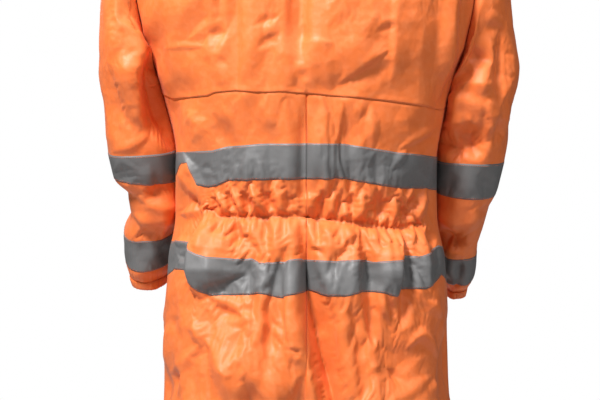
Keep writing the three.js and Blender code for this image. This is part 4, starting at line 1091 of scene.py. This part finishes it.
def flat_cut(layer, closed):
    """Width of the widest row, length of the longest column, and area of a layer, in metres."""
    if closed:
        layer = np.concatenate([layer, layer[:, :1]], 1)
    across, down = np.diff(layer, axis=1), np.diff(layer, axis=0)
    halves = [np.cross(across[:-1], down[:, :-1]), np.cross(across[1:], down[:, 1:])]
    area = sum(np.linalg.norm(half, axis=-1).sum() for half in halves) / 2
    width = np.linalg.norm(across, axis=-1).sum(1).max()
    length = np.linalg.norm(down, axis=-1).sum(0).max()
    return float(width * MM), float(length * MM), float(area * MM**2)


def add_sheet(name, grid, outward, wall, look, lift=0.0, closed=False):
    """A closed shell round a grid of middle points. Returns the object and the outer layer."""
    normal = grid_normals(grid, outward, closed)
    middle = grid + lift * normal
    layers = [middle + wall / 2 * normal, middle - wall / 2 * normal]
    rows, columns = grid.shape[:2]
    faces = shell_faces(rows, columns, closed)
    uv, across, down = cloth_map(grid)
    points = np.concatenate([layer.reshape(-1, 3) for layer in layers])
    rounded = np.arange(len(faces)) < 2 * (rows - 1) * (columns - 1 + closed)
    piece = make_object(name, points, faces, look, np.tile(uv.reshape(-1, 2), (2, 1)), rounded)
    flat_cuts[name] = flat_cut(layers[0], closed)
    print(f"{name}: {rows} x {columns} points, {across:.0f} x {down:.0f} mm, {2 * len(faces)} triangles")
    return piece, layers[0], normal
# %% [markdown]
# ## The flat cut of each sheet
# Every sheet prints the flat size it was cut to. No cutter's figures are known for this garment, so
# each cut is worked back from the cloth built here, all by one rule: the width is its widest row,
# the length its longest column, and the area the cloth's own, since cloth that creases doesn't
# stretch. Real reflective tape is a straight strip 50 mm wide. The bands here follow the panels'
# rows, so some are narrower, and they print what is built.

# %% How a finished piece joins the frame
def declare_cut(piece):
    """Prints the flat size of the sheet, worked back from its own cloth."""
    width, length, area = flat_cuts[piece.name]
    print(f"{piece.name}: cut {width * 1000:.0f} x {length * 1000:.0f} mm, {area:.5f} square metres")


def finish_sheet(piece, node):
    """The piece rides on the garment, stands for its CAD node and prints its flat cut."""
    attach(piece, "garment")
    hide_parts(node)
    declare_cut(piece)


# %% [markdown]
# ## Back panels
# Each back panel is one length of cloth from under the yoke to the hem, joined to its twin down the
# centre back and, below the crotch, along the inside leg. Its top edge is tucked 6 mm under the
# yoke. The bands are cut from its rows and laid on its outer face.

# %% Back panels and their bands
SIDES = {"left": 1, "right": -1}
TAPE_LIFT = CLOTH / 2 + TAPE / 2 + 0.08
TUCK = 6
outer_faces = {}          # outer layer and normals of each finished panel, for the stitches
row_of = {}               # the row that lies on each named line


def add_bands(grid, out, lines, face_word, word, closed=False):
    """The upper and the lower reflective band of one panel, sliced from the panel's own rows."""
    for level in ("upper", "lower"):
        rows = slice(lines[f"{level}_tape_top"], lines[f"{level}_tape_bottom"] + 1)
        node = f"tape_{level}_{face_word}_{word}"
        piece, layer, normal = add_sheet(f"band_{level}_{face_word}_{word}", grid[rows], out[rows],
                                         TAPE, "tape", lift=TAPE_LIFT, closed=closed)
        finish_sheet(piece, node)
        outer_faces[node] = layer, normal


for word, side in SIDES.items():
    share = shares(126)
    lines = [row_line(name, side, 1, share) for name in ROWS]
    lines.insert(0, lines[0] + TUCK)
    # rows a little closer round the waist, wide apart on the legs
    spacing = [2, FINE, FINE, 2.1, 2.1, FINE, FINE, FINE + 1, COARSE, COARSE, COARSE + 1, 3]
    z, at = rows_between(lines, spacing)
    at = dict(zip(["tuck", *ROWS], at))
    s = np.broadcast_to(share, z.shape)
    tuck = -0.55 * smoothstep(z - lines[1], -3, 0) + hem_lift(z)
    grid, out, kept, crisp = hang(side, 1, s, z, seams=(0, 1), extra=tuck)
    off, on = off_the_elastic(grid[..., 0], z)
    grid = crisp + settle(grid, body_points(side, 1, s, z)[0],
                          np.maximum(kept, 0.35 * on * np.exp(-(off / 30) ** 2)),
                          spare=0.004 + 0.03 * on * np.exp(-(off / 45) ** 2),
                          hold=on * np.exp(-(off / 3.6) ** 4))
    piece, layer, normal = add_sheet(f"cloth_back_{word}", grid, out, CLOTH, "shell")
    finish_sheet(piece, f"back_{word}")
    outer_faces[f"back_{word}"], row_of[f"back_{word}"] = (layer, normal), at
    add_bands(grid, out, at, "back", word)
    outer_faces[f"middle_{word}"] = grid, out

# %% [markdown]
# ## Yoke
# The yoke is one piece over both shoulders, from the neck down to its seam across the back. It has
# no seam down the middle. Its lower edge laps over the back panels, a little proud of them, which
# is what makes the fine dark line there.

# %% Yoke
halves = []
for side in (1, -1):
    share = shares(116)
    upper_s, upper_z = upper_rows(side, 1, share, FINE * 0.9)
    seam = row_line("yoke_seam", side, 1, share)
    lower_z = lerp(upper_z[-1], seam, np.arange(1, 23)[:, None] / 22)
    s = np.concatenate([upper_s, np.broadcast_to(share, lower_z.shape)])
    z = np.concatenate([upper_z, lower_z])
    lap = 0.45 * smoothstep(seam + 7 - z, 0, 2)
    halves.append([*hang(side, 1, s, z, seams=(1,), extra=lap), body_points(side, 1, s, z)[0]])
grid, out, kept, crisp, smooth = [np.concatenate([right[:, ::-1], left[:, 1:]], 1)
                                  for left, right in zip(halves[0], halves[1])]
on_shoulder = 0.6 * smoothstep(smooth[..., 2], SHOULDER[1] - 45, SHOULDER[1] - 15)
grid, smooth = eased(grid, on_shoulder), eased(smooth, on_shoulder)
grid = settle(grid, smooth, kept, spare=0.002) + crisp
piece, layer, normal = add_sheet("cloth_yoke", grid, out, CLOTH, "shell")
finish_sheet(piece, "back_yoke")
outer_faces["back_yoke"] = layer, normal

# %% [markdown]
# ## Front panels
# Nobody sees the front as often, but it is the same cloth, so it has folds of the same kinds: long
# ones from the shoulders, drag lines to the waist and the crotch. Each panel runs from the shoulder
# seam to the hem, and its front edge stops 4 mm from the middle, over the tape of the zip.

# %% Front panels and their bands
front_grids = {}
for word, side in SIDES.items():
    share = shares(54)
    upper_s, upper_z = upper_rows(side, -1, share, 5)
    names = list(ROWS)
    lines = [upper_z[-1], *[row_line(name, side, -1, share) for name in names]]
    z, at = rows_between(lines, [5] * 8 + [COARSE, COARSE, COARSE + 1, 3])
    above = len(upper_z) - 1
    at = {name: row + above for name, row in zip(["armpit", *names], at)}
    s = np.concatenate([upper_s, np.broadcast_to(share, z[1:].shape)])
    z = np.concatenate([upper_z, z[1:]])
    grid, out, kept, crisp = hang(side, -1, s, z, seams=(1,), extra=hem_lift(z))
    on_shoulder = 0.6 * smoothstep(z, SHOULDER[1] - 45, SHOULDER[1] - 15)
    grid, smooth = [eased(layer, on_shoulder, 60) for layer in (grid, body_points(side, -1, s, z)[0])]
    grid = settle(grid, smooth, kept) + crisp
    piece, layer, normal = add_sheet(f"cloth_front_{word}", grid, out, CLOTH, "shell")
    finish_sheet(piece, f"front_{word}")
    outer_faces[f"front_{word}"], row_of[f"front_{word}"] = (layer, normal), at
    add_bands(grid, out, at, "front", word)
    front_grids[side] = grid

# %% [markdown]
# ## Sleeves
# A sleeve is a tube of rings. Each ring is an oval between an edge away from the body and an edge
# beside it, tipped forward as the arm hangs; the first rings still follow the line of the armhole.
# Above the elastic of the cuff the cloth bunches into small ripples.

# %% Rings of the sleeves
RING_NAMES = ("armhole", "cap_1", "cap_2", "cap_3", "cap_4", "upper_arm", "above_elbow",
              "upper_tape_top", "upper_tape_bottom", "elbow", "forearm", "lower_tape_top",
              "lower_tape_bottom", "hem", "cuff_edge")
# outer edge x, z, inner edge x, z, middle y, depth behind, depth before, tilt in degrees
SLEEVE_RINGS = {
    1: np.array([
        (238, -62, 221, -250, 0, 64, 58, 0), (262, -70, 219, -256, 0, 68, 64, 0),
        (279, -98, 217, -263, -3, 72, 72, 0), (287, -146, 215, -271, -6, 74, 82, 0),
        (290, -200, 216, -283, -10, 74, 88, 0), (287, -262, 209, -302, -14, 72, 92, 0),
        (284, -334, 198, -342, -20, 70, 90, 4), (285, -401, 190, -396, -28, 68, 84, 10),
        (276, -438, 189, -441, -40, 64, 78, 14), (255, -460, 190, -466, -50, 60, 74, 17),
        (252, -490, 190, -492, -62, 58, 70, 19), (265, -524, 192, -514, -76, 57, 66, 20),
        (262, -563, 196, -558, -92, 53, 60, 20), (258, -577, 200, -575, -98, 44, 50, 20),
        (257, -588, 202, -587, -101, 42, 47, 20)], float),
    -1: np.array([
        (238, -62, 210, -282, 0, 64, 58, 0), (262, -70, 208, -288, 0, 68, 64, 0),
        (280, -100, 206, -295, -3, 72, 72, 0), (290, -150, 205, -303, -6, 74, 82, 0),
        (294, -205, 207, -313, -10, 74, 88, 0), (297, -270, 202, -328, -14, 72, 92, 0),
        (291, -335, 195, -356, -22, 70, 90, 4), (277, -411, 190, -410, -34, 68, 82, 10),
        (265, -459, 190, -455, -50, 64, 76, 14), (258, -480, 191, -478, -58, 61, 73, 17),
        (254, -512, 192, -508, -72, 59, 70, 19), (249, -547, 195, -544, -86, 58, 68, 20),
        (246, -583, 198, -584, -100, 54, 62, 20), (243, -594, 201, -595, -105, 45, 51, 20),
        (242, -604, 202, -605, -108, 43, 48, 20)], float),
}
ARMHOLE_FADE = np.array([1, 0.65, 0.3, *[0] * 12])
SLEEVE_COLUMNS = 144


def ring_points(side, values, turn):
    """Oval ring: x falls by the cosine from the outer to the inner edge, y follows the sine, and
    the front is tipped up. Returns the points and the way out of the ring."""
    out_x, out_z, in_x, in_z, y, back, front, tilt = [value[:, None] for value in values.T]
    cosine, sine = power(np.cos(turn), ROUND), power(np.sin(turn), ROUND)
    deep = np.where(sine > 0, back, front)
    rise = np.tan(np.radians(tilt)) * (back - deep * sine)
    x = (out_x + in_x) / 2 - (out_x - in_x) / 2 * cosine
    z = lerp(in_z, out_z, (1 - cosine) / 2) + rise
    points = np.stack([side * x, y + deep * sine, z], -1)
    centre = np.stack([side * (out_x + in_x) / 2, y + 0 * x[:, :1], (in_z + out_z) / 2 + rise[:, :1]], -1)
    return points, points - centre


def beside_body(points, side, gap=1.0):
    """Points moved sideways off the body: x at least (1 - |y/depth|^(2/ROUND))^(ROUND/2) x half."""
    x, y, z = np.moveaxis(points, -1, 0)
    depth = np.where(y > 0, cubic(BODY_Z, BEHIND, z), cubic(BODY_Z, BEFORE, z))
    body = cubic(BODY_Z, OUTER, z) * np.maximum(0, 1 - np.abs(y / depth) ** (2 / ROUND)) ** (ROUND / 2)
    wanted = np.maximum(side * x, body + gap)
    return np.stack([lerp(x, side * wanted, smoothstep(ARMPIT[side] - z, -6, 6)), y, z], -1)


def sleeve_grid(side):
    """Middle points of a whole sleeve, its way out, and the row of each named ring."""
    table = SLEEVE_RINGS[side]
    turn = 2 * np.pi * np.arange(SLEEVE_COLUMNS) / SLEEVE_COLUMNS
    length = np.abs(np.diff(table[:, [1, 3]], axis=0)).max(1)
    counts = np.maximum(2, np.ceil(length / 3.1)).astype(int)
    at = np.concatenate([[0], np.cumsum(counts)])
    ring = np.interp(np.arange(at[-1] + 1), at, np.arange(len(table)))
    index = np.arange(len(table), dtype=float)
    values = np.stack([cubic(index, column, ring) for column in table.T], -1)
    values[:, 2] -= 9 * smoothstep(ring, 1, 3) * smoothstep(-ring, -12, -10)
    points, outward = ring_points(side, values, turn)
    # the line of the armhole, and how much of it each ring keeps
    share = np.where(turn <= np.pi, turn, 2 * np.pi - turn) / np.pi
    z = lerp(ARMPIT[side], SHOULDER[1], (1 - np.cos(np.pi * share)) / 2)
    ones = np.ones_like(z)
    line = np.where((turn <= np.pi)[:, None], body_points(side, 1, ones, z)[0],
                    body_points(side, -1, ones, z)[0])
    first = ring_points(side, table[:1], turn)[0][0]
    keep = np.interp(ring, index, ARMHOLE_FADE)
    points = points + keep[:, None, None] * (line - first)
    normal = grid_normals(points, outward, closed=True)
    x, z = points[..., 0], points[..., 2]
    facing = smoothstep(np.abs(normal[..., 1]), 0.12, 0.55)
    behind = LEFT_SLEEVE_CREASES if side > 0 else RIGHT_SLEEVE_CREASES
    height = facing * np.where(normal[..., 1] > 0, crease_heights(x, z, behind),
                               crease_heights(x, z, SLEEVE_FRONT_CREASES))
    kept = smoothstep(np.abs(height), 1.5, 10)
    inside = smoothstep(-side * normal[..., 0], 0.3, 0.8)
    facets = crumple(points, 0.6, 9) * (1 - 0.8 * inside)
    hem = at[RING_NAMES.index("hem")]
    rows = np.arange(len(ring))[:, None]
    u = SLEEVE_COLUMNS * 0 + turn * 34 / (2 * np.pi) + 1.2 * np.sin(3 * turn) + 0.7 * np.sin(7 * turn + 1)
    ripple = np.abs(2 * (u - np.floor(u)) - 1) - 0.5
    height = height + 2.4 * ripple * np.exp(-np.abs(rows - hem) / 5.0)
    height = height - 1.2 * np.exp(-((rows - hem) / 1.2) ** 2)
    inward = smoothstep(rows * 2.8, 0, 14)
    height = height * inward - 0.8 * np.exp(-rows * 2.8 / 1.5)
    settled = settle(points + normal * height[..., None], points, kept, closed=True)
    points = beside_body(settled + normal * (facets * inward)[..., None], side)
    return points, outward, dict(zip(RING_NAMES, at))


# %% Sleeves, cuffs and their bands
for word, side in SIDES.items():
    grid, outward, at = sleeve_grid(side)
    hem = at["hem"]
    piece, layer, normal = add_sheet(f"cloth_sleeve_{word}", grid[:hem + 1], outward[:hem + 1],
                                     CLOTH, "shell", closed=True)
    finish_sheet(piece, f"sleeve_{word}")
    outer_faces[f"sleeve_{word}"], row_of[f"sleeve_{word}"] = (layer, normal), at
    piece, layer, normal = add_sheet(f"cloth_cuff_{word}", grid[hem:], outward[hem:], 1.2, "shell",
                                     lift=0.4, closed=True)
    finish_sheet(piece, f"cuff_{word}")
    outer_faces[f"cuff_{word}"] = layer, normal
    add_bands(grid, outward, at, "sleeve", word, closed=True)

# %% [markdown]
# ## Collar, elastic and zip
# The collar is a low stand of doubled cloth on the neck edge. The elastic is a narrow band stitched
# flat inside the back, so it takes the same pleats as the cloth. The zip is two woven tapes behind
# the front edges with a chain of moulded teeth between them, in turn from the left and the right.

# %% Collar
def neck_line():
    """The neck edge from the right front round the back to the left front, on the smooth form."""
    parts = []
    for side, face, order in ((-1, -1, 1), (-1, 1, -1), (1, 1, 1), (1, -1, -1)):
        s, z = upper_rows(side, face, np.linspace(0, 1, 40), 5)
        points, out = body_points(side, face, s[0], z[0])
        parts.append((points[::order], out[::order]))
    points = np.concatenate([part[0][min(k, 1):] for k, part in enumerate(parts)])
    out = np.concatenate([part[1][min(k, 1):] for k, part in enumerate(parts)])
    return points, out


def walk(points, spacing, *others):
    """Points moved to even steps along their line, and other arrays read at the same places."""
    far = np.concatenate([[0], np.cumsum(np.linalg.norm(np.diff(points, axis=0), axis=1))])
    steps = np.linspace(0, far[-1], max(2, int(round(far[-1] / spacing)) + 1))
    return [np.stack([np.interp(steps, far, column) for column in array.T], -1)
            for array in (points, *others)]


neck, neck_out = walk(neck_line()[0], 2.8, neck_line()[1])
share = np.linspace(1, 0, 17)[:, None, None]
lean = 1 - COLLAR_LEAN * share
grid = np.concatenate([neck[None, :, :1] * np.where(np.abs(neck[:, :1]) < 5, 1, lean),
                       neck[None, :, 1:2] * lean, neck[None, :, 2:] + COLLAR_HEIGHT * share], -1)
out = np.broadcast_to(neck_out, grid.shape)
soft = np.sin(np.pi * np.clip(share[..., 0], 0, 1)) * 0.6 + 0.4
height = crumple(grid, 0.15) * soft - 0.5 * np.exp(-((share[..., 0] - 0.9) * COLLAR_HEIGHT) ** 2)
grid = grid + unit(out * [1, 1, 0]) * height[..., None]
piece, layer, normal = add_sheet("cloth_collar", grid, out, 1.3, "shell")
finish_sheet(piece, "collar")
outer_faces["collar"] = layer, normal

# %% Waist elastic
strips = []
for word, side in SIDES.items():
    grid, out = outer_faces[f"middle_{word}"]
    middle = row_of[f"back_{word}"]["waist"]
    end = ELASTIC_FROM if side > 0 else -ELASTIC_TO
    columns = int(np.searchsorted(side * grid[middle, :, 0], end))
    strips.append((grid[middle - 2:middle + 3, :columns], out[middle - 2:middle + 3, :columns]))
grid, out = [np.concatenate([right[:, ::-1], left[:, 1:]], 1) for left, right in zip(*strips)]
piece, _, _ = add_sheet("elastic_waist", grid, out, 0.8, "elastic", lift=-(CLOTH / 2 + 0.06 + 0.4))
finish_sheet(piece, "waist_elastic")

# %% Zip tapes and teeth
TAPE_HALF, TAPE_MIDDLE, TAPE_WALL = 12, -1.82, 0.7
TOOTH_PITCH = 1.7

fronts = []
z = np.linspace(NECK_FRONT, ZIP_END, 240)
for side, grid in front_grids.items():
    edge = grid[:, 0]
    fronts.append(np.interp(-z, -edge[:, 2], edge[:, 1]))
down = np.stack([0 * z, np.mean(fronts, 0), z], -1)
top = np.stack([0 * z[:12], lerp(neck[0, 1] * (1 - COLLAR_LEAN), neck[0, 1], np.linspace(0, 1, 12)),
                NECK_FRONT + COLLAR_HEIGHT * np.linspace(1, 0, 12)], -1)
zip_line = walk(np.concatenate([top, down[1:]]), TOOTH_PITCH)[0]
zip_along = unit(np.gradient(zip_line, axis=0))
zip_out = np.cross([1, 0, 0], zip_along)
zip_out *= np.sign(-zip_out[:, 1].mean())


def zip_tapes():
    """Two tapes behind the front edges: a grid of seven columns each, from the chain outwards."""
    across = np.linspace(0.5, TAPE_HALF, 7)
    for word, side in SIDES.items():
        rows = slice(None, None, 2)
        grid = zip_line[rows, None] + zip_out[rows, None] * TAPE_MIDDLE
        grid = grid + side * across[:, None] * np.array([1, 0, 0])
        out = np.broadcast_to(zip_out[rows, None], grid.shape)
        piece, _, _ = add_sheet(f"zip_tape_{word}", grid, out, TAPE_WALL, "zip")
        yield word, piece


def repeat(shape, faces, centre, across, along, out):
    """One closed shape placed at every centre in the frame (across, along, out)."""
    points = (centre[:, None] + shape[None, :, :1] * across[:, None] + shape[None, :, 1:2] * along[:, None]
              + shape[None, :, 2:] * out[:, None])
    shifts = np.arange(len(centre))[:, None, None] * len(shape)
    return points.reshape(-1, 3), (faces[None] + shifts).reshape(-1, faces.shape[1])


# a tooth: a stem that widens to a rounded head, as a six-sided prism of two hexagons
TOOTH = np.array([(x, y, z) for z in (-1.5, 0.75) for x, y in (
    (0.0, -0.45), (0.9, -0.42), (1.5, -0.68), (2.4, -0.5), (2.4, 0.5),
    (1.5, 0.68), (0.9, 0.42), (0.0, 0.45))])
TOOTH_FACES = np.array([(j, (j + 1) % 8, (j + 1) % 8 + 8, j + 8) for j in range(8)]
                       + [(0, 7, 6, 1), (1, 6, 5, 2), (2, 5, 4, 3),
                          (8, 9, 14, 15), (9, 10, 13, 14), (10, 11, 12, 13)])

for word, piece in zip_tapes():
    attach(piece, "garment")
    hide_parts("zip")
    declare_cut(piece)

turned = np.where(np.arange(len(zip_line)) % 2 == 0, 1.0, -1.0)[:, None]
points, faces = repeat(TOOTH, TOOTH_FACES, zip_line - turned * [2.1, 0, 0], turned * [1, 0, 0],
                       turned * zip_along, zip_out)
piece = make_object("zip_teeth", points, faces, "teeth", smooth=False)
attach(piece, "garment")
print("zip line", round(len(zip_line) * TOOTH_PITCH), "mm,", len(zip_line), "teeth")

# %% [markdown]
# ## Slider and pull tab
# These two are moulded metal, and the CAD already has their exact form and the hinge between them.
# They are copied, their flat faces made whole again, and their edges rounded by a quarter of a
# millimetre, so that light catches them as it does on a real casting.

# %% Slider and pull tab
def cast_metal():
    """Nickel-plated metal with a faint unevenness of its shine."""
    material, tree, shader = new_material("plated metal", Metallic=1.0, Base_Color=(0.60, 0.59, 0.57, 1))
    place = tree.nodes.new("ShaderNodeTexCoord")
    wear = add(tree, "ShaderNodeTexNoise", [("Vector", place.outputs["Object"])],
               in_Scale=900.0, in_Detail=4.0)
    rough = add(tree, "ShaderNodeMapRange", [("Value", wear.outputs["Fac"])], in_To_Min=0.22, in_To_Max=0.42)
    tree.links.new(rough.outputs[0], shader.inputs["Roughness"])
    return material


LOOKS["metal"] = cast_metal()


def rounded_copy(name, node, body):
    """The CAD piece with its triangles joined into whole faces and its edges rounded."""
    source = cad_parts[node]
    mesh = source.data.copy()
    mesh.name = name
    mesh.transform(source.matrix_world)
    work = bmesh.new()
    work.from_mesh(mesh)
    bmesh.ops.remove_doubles(work, verts=work.verts, dist=1e-6)
    bmesh.ops.dissolve_limit(work, angle_limit=0.01, verts=work.verts, edges=work.edges)
    bmesh.ops.bevel(work, geom=work.edges[:], offset=0.25 * MM, offset_type="OFFSET", segments=2,
                    profile=0.5, affect="EDGES", clamp_overlap=True)
    for face in work.faces:
        face.smooth = True
    work.to_mesh(mesh)
    work.free()
    mesh.materials.clear()
    mesh.materials.append(LOOKS["metal"])
    piece = bpy.data.objects.new(name, mesh)
    bpy.context.scene.collection.objects.link(piece)
    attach(piece, body)
    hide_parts(node)
    print(f"{name}: {len(mesh.polygons)} faces")
    return piece


rounded_copy("zip_slider_cast", "zip_slider", "garment")
rounded_copy("zip_pull_cast", "zip_pull", "pull")

# %% [markdown]
# ## Stitches
# Every band is sewn down 2 mm inside each edge. Single lines close the hems, the cuffs, the yoke,
# the collar and the edges along the zip, and two lines hold the elastic. A stitch is a tiny
# eight-sided lozenge half sunk in the cloth; a line is drawn along the finished cloth, walked in
# even steps, and one lozenge laid at each.

# %% Stitches
PITCH = 3.2
LOZENGE = np.array([(0, -1.25, 0), (0, 1.25, 0), (-0.28, 0, 0), (0.28, 0, 0), (0, 0, -0.2), (0, 0, 0.3)])
LOZENGE_FACES = np.array([(1, 3, 5), (3, 0, 5), (0, 2, 5), (2, 1, 5),
                          (3, 1, 4), (0, 3, 4), (2, 0, 4), (1, 2, 4)])


def between(layer, normal, row):
    """Points and normals on a fractional row of a grid."""
    low = int(np.floor(row))
    high = min(low + 1, len(layer) - 1)
    return lerp(layer[low], layer[high], row - low), unit(lerp(normal[low], normal[high], row - low))


def inset(layer, normal, distance, from_end=False):
    """The line that runs a given distance inside the first row, or the last, of a grid."""
    step = np.linalg.norm(np.diff(layer, axis=0), axis=-1).mean()
    row = distance / step
    return between(layer, normal, len(layer) - 1 - row if from_end else row)


def down_edge(layer, normal, distance, last_row):
    """The line that runs a given distance inside the first column of a grid, down to a row."""
    step = np.linalg.norm(layer[:last_row, 1:] - layer[:last_row, :-1], axis=-1).cumsum(1).mean(0)
    column = 1 + np.interp(distance, step, np.arange(len(step)))
    low = int(column)
    t = column - low
    return (lerp(layer[:last_row, low], layer[:last_row, low + 1], t),
            unit(lerp(normal[:last_row, low], normal[:last_row, low + 1], t)))


seams = []
for node, (layer, normal) in outer_faces.items():
    if node.startswith("tape_"):
        loop = "sleeve" in node
        for from_end in (False, True):
            line = inset(layer, normal, 2.0, from_end)
            seams.append([np.concatenate([part, part[:1]]) if loop else part for part in line])
    elif node.startswith("cuff_"):
        seams.append(inset(layer, normal, 2.0, True))
    elif node.startswith(("back_left", "back_right", "front_")):
        at = row_of[node]
        seams.append(between(layer, normal, at["hem_fold"] + 0.4))
        if node.startswith("back_"):
            on = (layer[at["waist"], :, 0] < ELASTIC_FROM) & (layer[at["waist"], :, 0] > ELASTIC_TO)
            seams.extend([part[on] for part in between(layer, normal, at["waist"] + shift)]
                         for shift in (-1.2, 1.2))
        else:
            seams.append(down_edge(layer, normal, 6.5, int(np.argmax(layer[:, 0, 2] < ZIP_END))))
    elif node == "back_yoke":
        seams.append(inset(layer, normal, 2.5, True))
    elif node == "collar":
        seams.append(inset(layer, normal, 4.0))
        seams.append(inset(layer, normal, 2.0, True))

centres, alongs, outs = [], [], []
for line, normal in seams:
    line, normal = walk(np.asarray(line), PITCH, np.asarray(normal))
    along = unit(np.gradient(line, axis=0))
    centres.append(line[1:-1])
    alongs.append(along[1:-1])
    outs.append(unit(normal - along * (normal * along).sum(-1, keepdims=True))[1:-1])
centres, alongs, outs = map(np.concatenate, (centres, alongs, outs))
points, faces = repeat(LOZENGE, LOZENGE_FACES, centres, np.cross(alongs, outs), alongs, outs)
piece = make_object("stitches", points, faces, "thread", smooth=False)
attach(piece, "garment")
print(len(centres), "stitches in", len(seams), "lines,", 8 * len(centres), "triangles")

# %% [markdown]
# ## Floor, light and camera
# The floor is a pale disc under the hems. A soft key light hangs above and behind the wearer's left
# shoulder. A broad panel high behind and weaker fills to the right, above, in front and low let
# every side be seen.
# The sky gives a little light and shows as plain white behind the garment.

# %% Stage and camera
def area_light(name, at, target, size, watts, colour=(1, 1, 1)):
    data = bpy.data.lights.new(name, "AREA")
    data.shape, data.size, data.energy, data.color = "DISK", size, watts, colour
    lamp = bpy.data.objects.new(name, data)
    lamp.location = at
    aim = np.array(target, float) - np.array(at, float)
    lamp.rotation_euler = (np.arctan2(np.hypot(aim[0], aim[1]), -aim[2]), 0, np.arctan2(-aim[0], aim[1]))
    bpy.context.scene.collection.objects.link(lamp)
    return lamp


def pale_floor():
    """A disc of 96 corners just under the hems, a hair rougher than paint."""
    turn = np.linspace(0, 2 * np.pi, 96, endpoint=False)
    mesh = bpy.data.meshes.new("floor")
    points = np.stack([3 * np.cos(turn), 3 * np.sin(turn), np.full(96, (HEM - 6) * MM)], -1)
    mesh.from_pydata(points.tolist(), [], [list(range(96))])
    material, _, _ = new_material("pale floor", Base_Color=(0.6, 0.6, 0.6, 1), Roughness=0.7)
    mesh.materials.append(material)
    floor = bpy.data.objects.new("floor", mesh)
    bpy.context.scene.collection.objects.link(floor)
    return floor


CENTRE = (0, 0, -0.46)
CAMERA_AT = (0.009, 2.33, -0.459)      # metres, level, looking at the back
FOCAL_LENGTH, SENSOR_WIDTH = 99, 36     # millimetres
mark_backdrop(pale_floor(),
         area_light("key", (1.2, 1.6, 1.8), (0, 0, -0.3), 0.7, 166),
         area_light("high_panel", (-0.6, 3.0, 2.6), (0, 0, -0.2), 2.2, 15),
         area_light("side_fill", (-1.8, 1.9, 1.9), (0, 0, -0.2), 1.0, 36),
         area_light("top", (0, 0.2, 2.6), CENTRE, 2.0, 26),
         area_light("front_fill", (0.8, -3.0, 1.2), (0, 0, -0.7), 2.4, 80),
         area_light("low_fill", (0.2, 2.8, -1.2), (0, 0, -0.8), 2.0, 0.8))


def white_sky(strength):
    """A world that shows white to the camera and lights the scene with the given strength."""
    world = bpy.data.worlds.new("sky")
    world.use_nodes = True
    tree = world.node_tree
    tree.nodes.clear()
    path = add(tree, "ShaderNodeLightPath")
    seen, light = add(tree, "ShaderNodeBackground"), add(tree, "ShaderNodeBackground")
    seen.inputs["Color"].default_value = light.inputs["Color"].default_value = (1, 1, 1, 1)
    seen.inputs["Strength"].default_value, light.inputs["Strength"].default_value = 1.0, strength
    both = add(tree, "ShaderNodeMixShader", [(0, path.outputs["Is Camera Ray"]),
                                             (1, light.outputs[0]), (2, seen.outputs[0])])
    out = add(tree, "ShaderNodeOutputWorld")
    tree.links.new(both.outputs[0], out.inputs["Surface"])
    return world


scene = bpy.context.scene
scene.world = white_sky(0.06)
scene.view_settings.view_transform = "Standard"
lens = bpy.data.cameras.new("camera")
lens.lens, lens.sensor_width, lens.clip_end = FOCAL_LENGTH, SENSOR_WIDTH, 30
camera = bpy.data.objects.new("camera", lens)
camera.location = CAMERA_AT
camera.rotation_euler = (np.pi / 2, 0, np.pi)
scene.collection.objects.link(camera)
scene.camera = camera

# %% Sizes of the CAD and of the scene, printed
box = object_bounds()
sizes = {"cad": [list(map(float, corner)) for corner in cad_box],
         "scene": [list(map(float, corner)) for corner in box]}
for name, (low, high) in sizes.items():
    print(name, "size", [round(b - a, 4) for a, b in zip(low, high)], "lowest", [round(v, 4) for v in low])
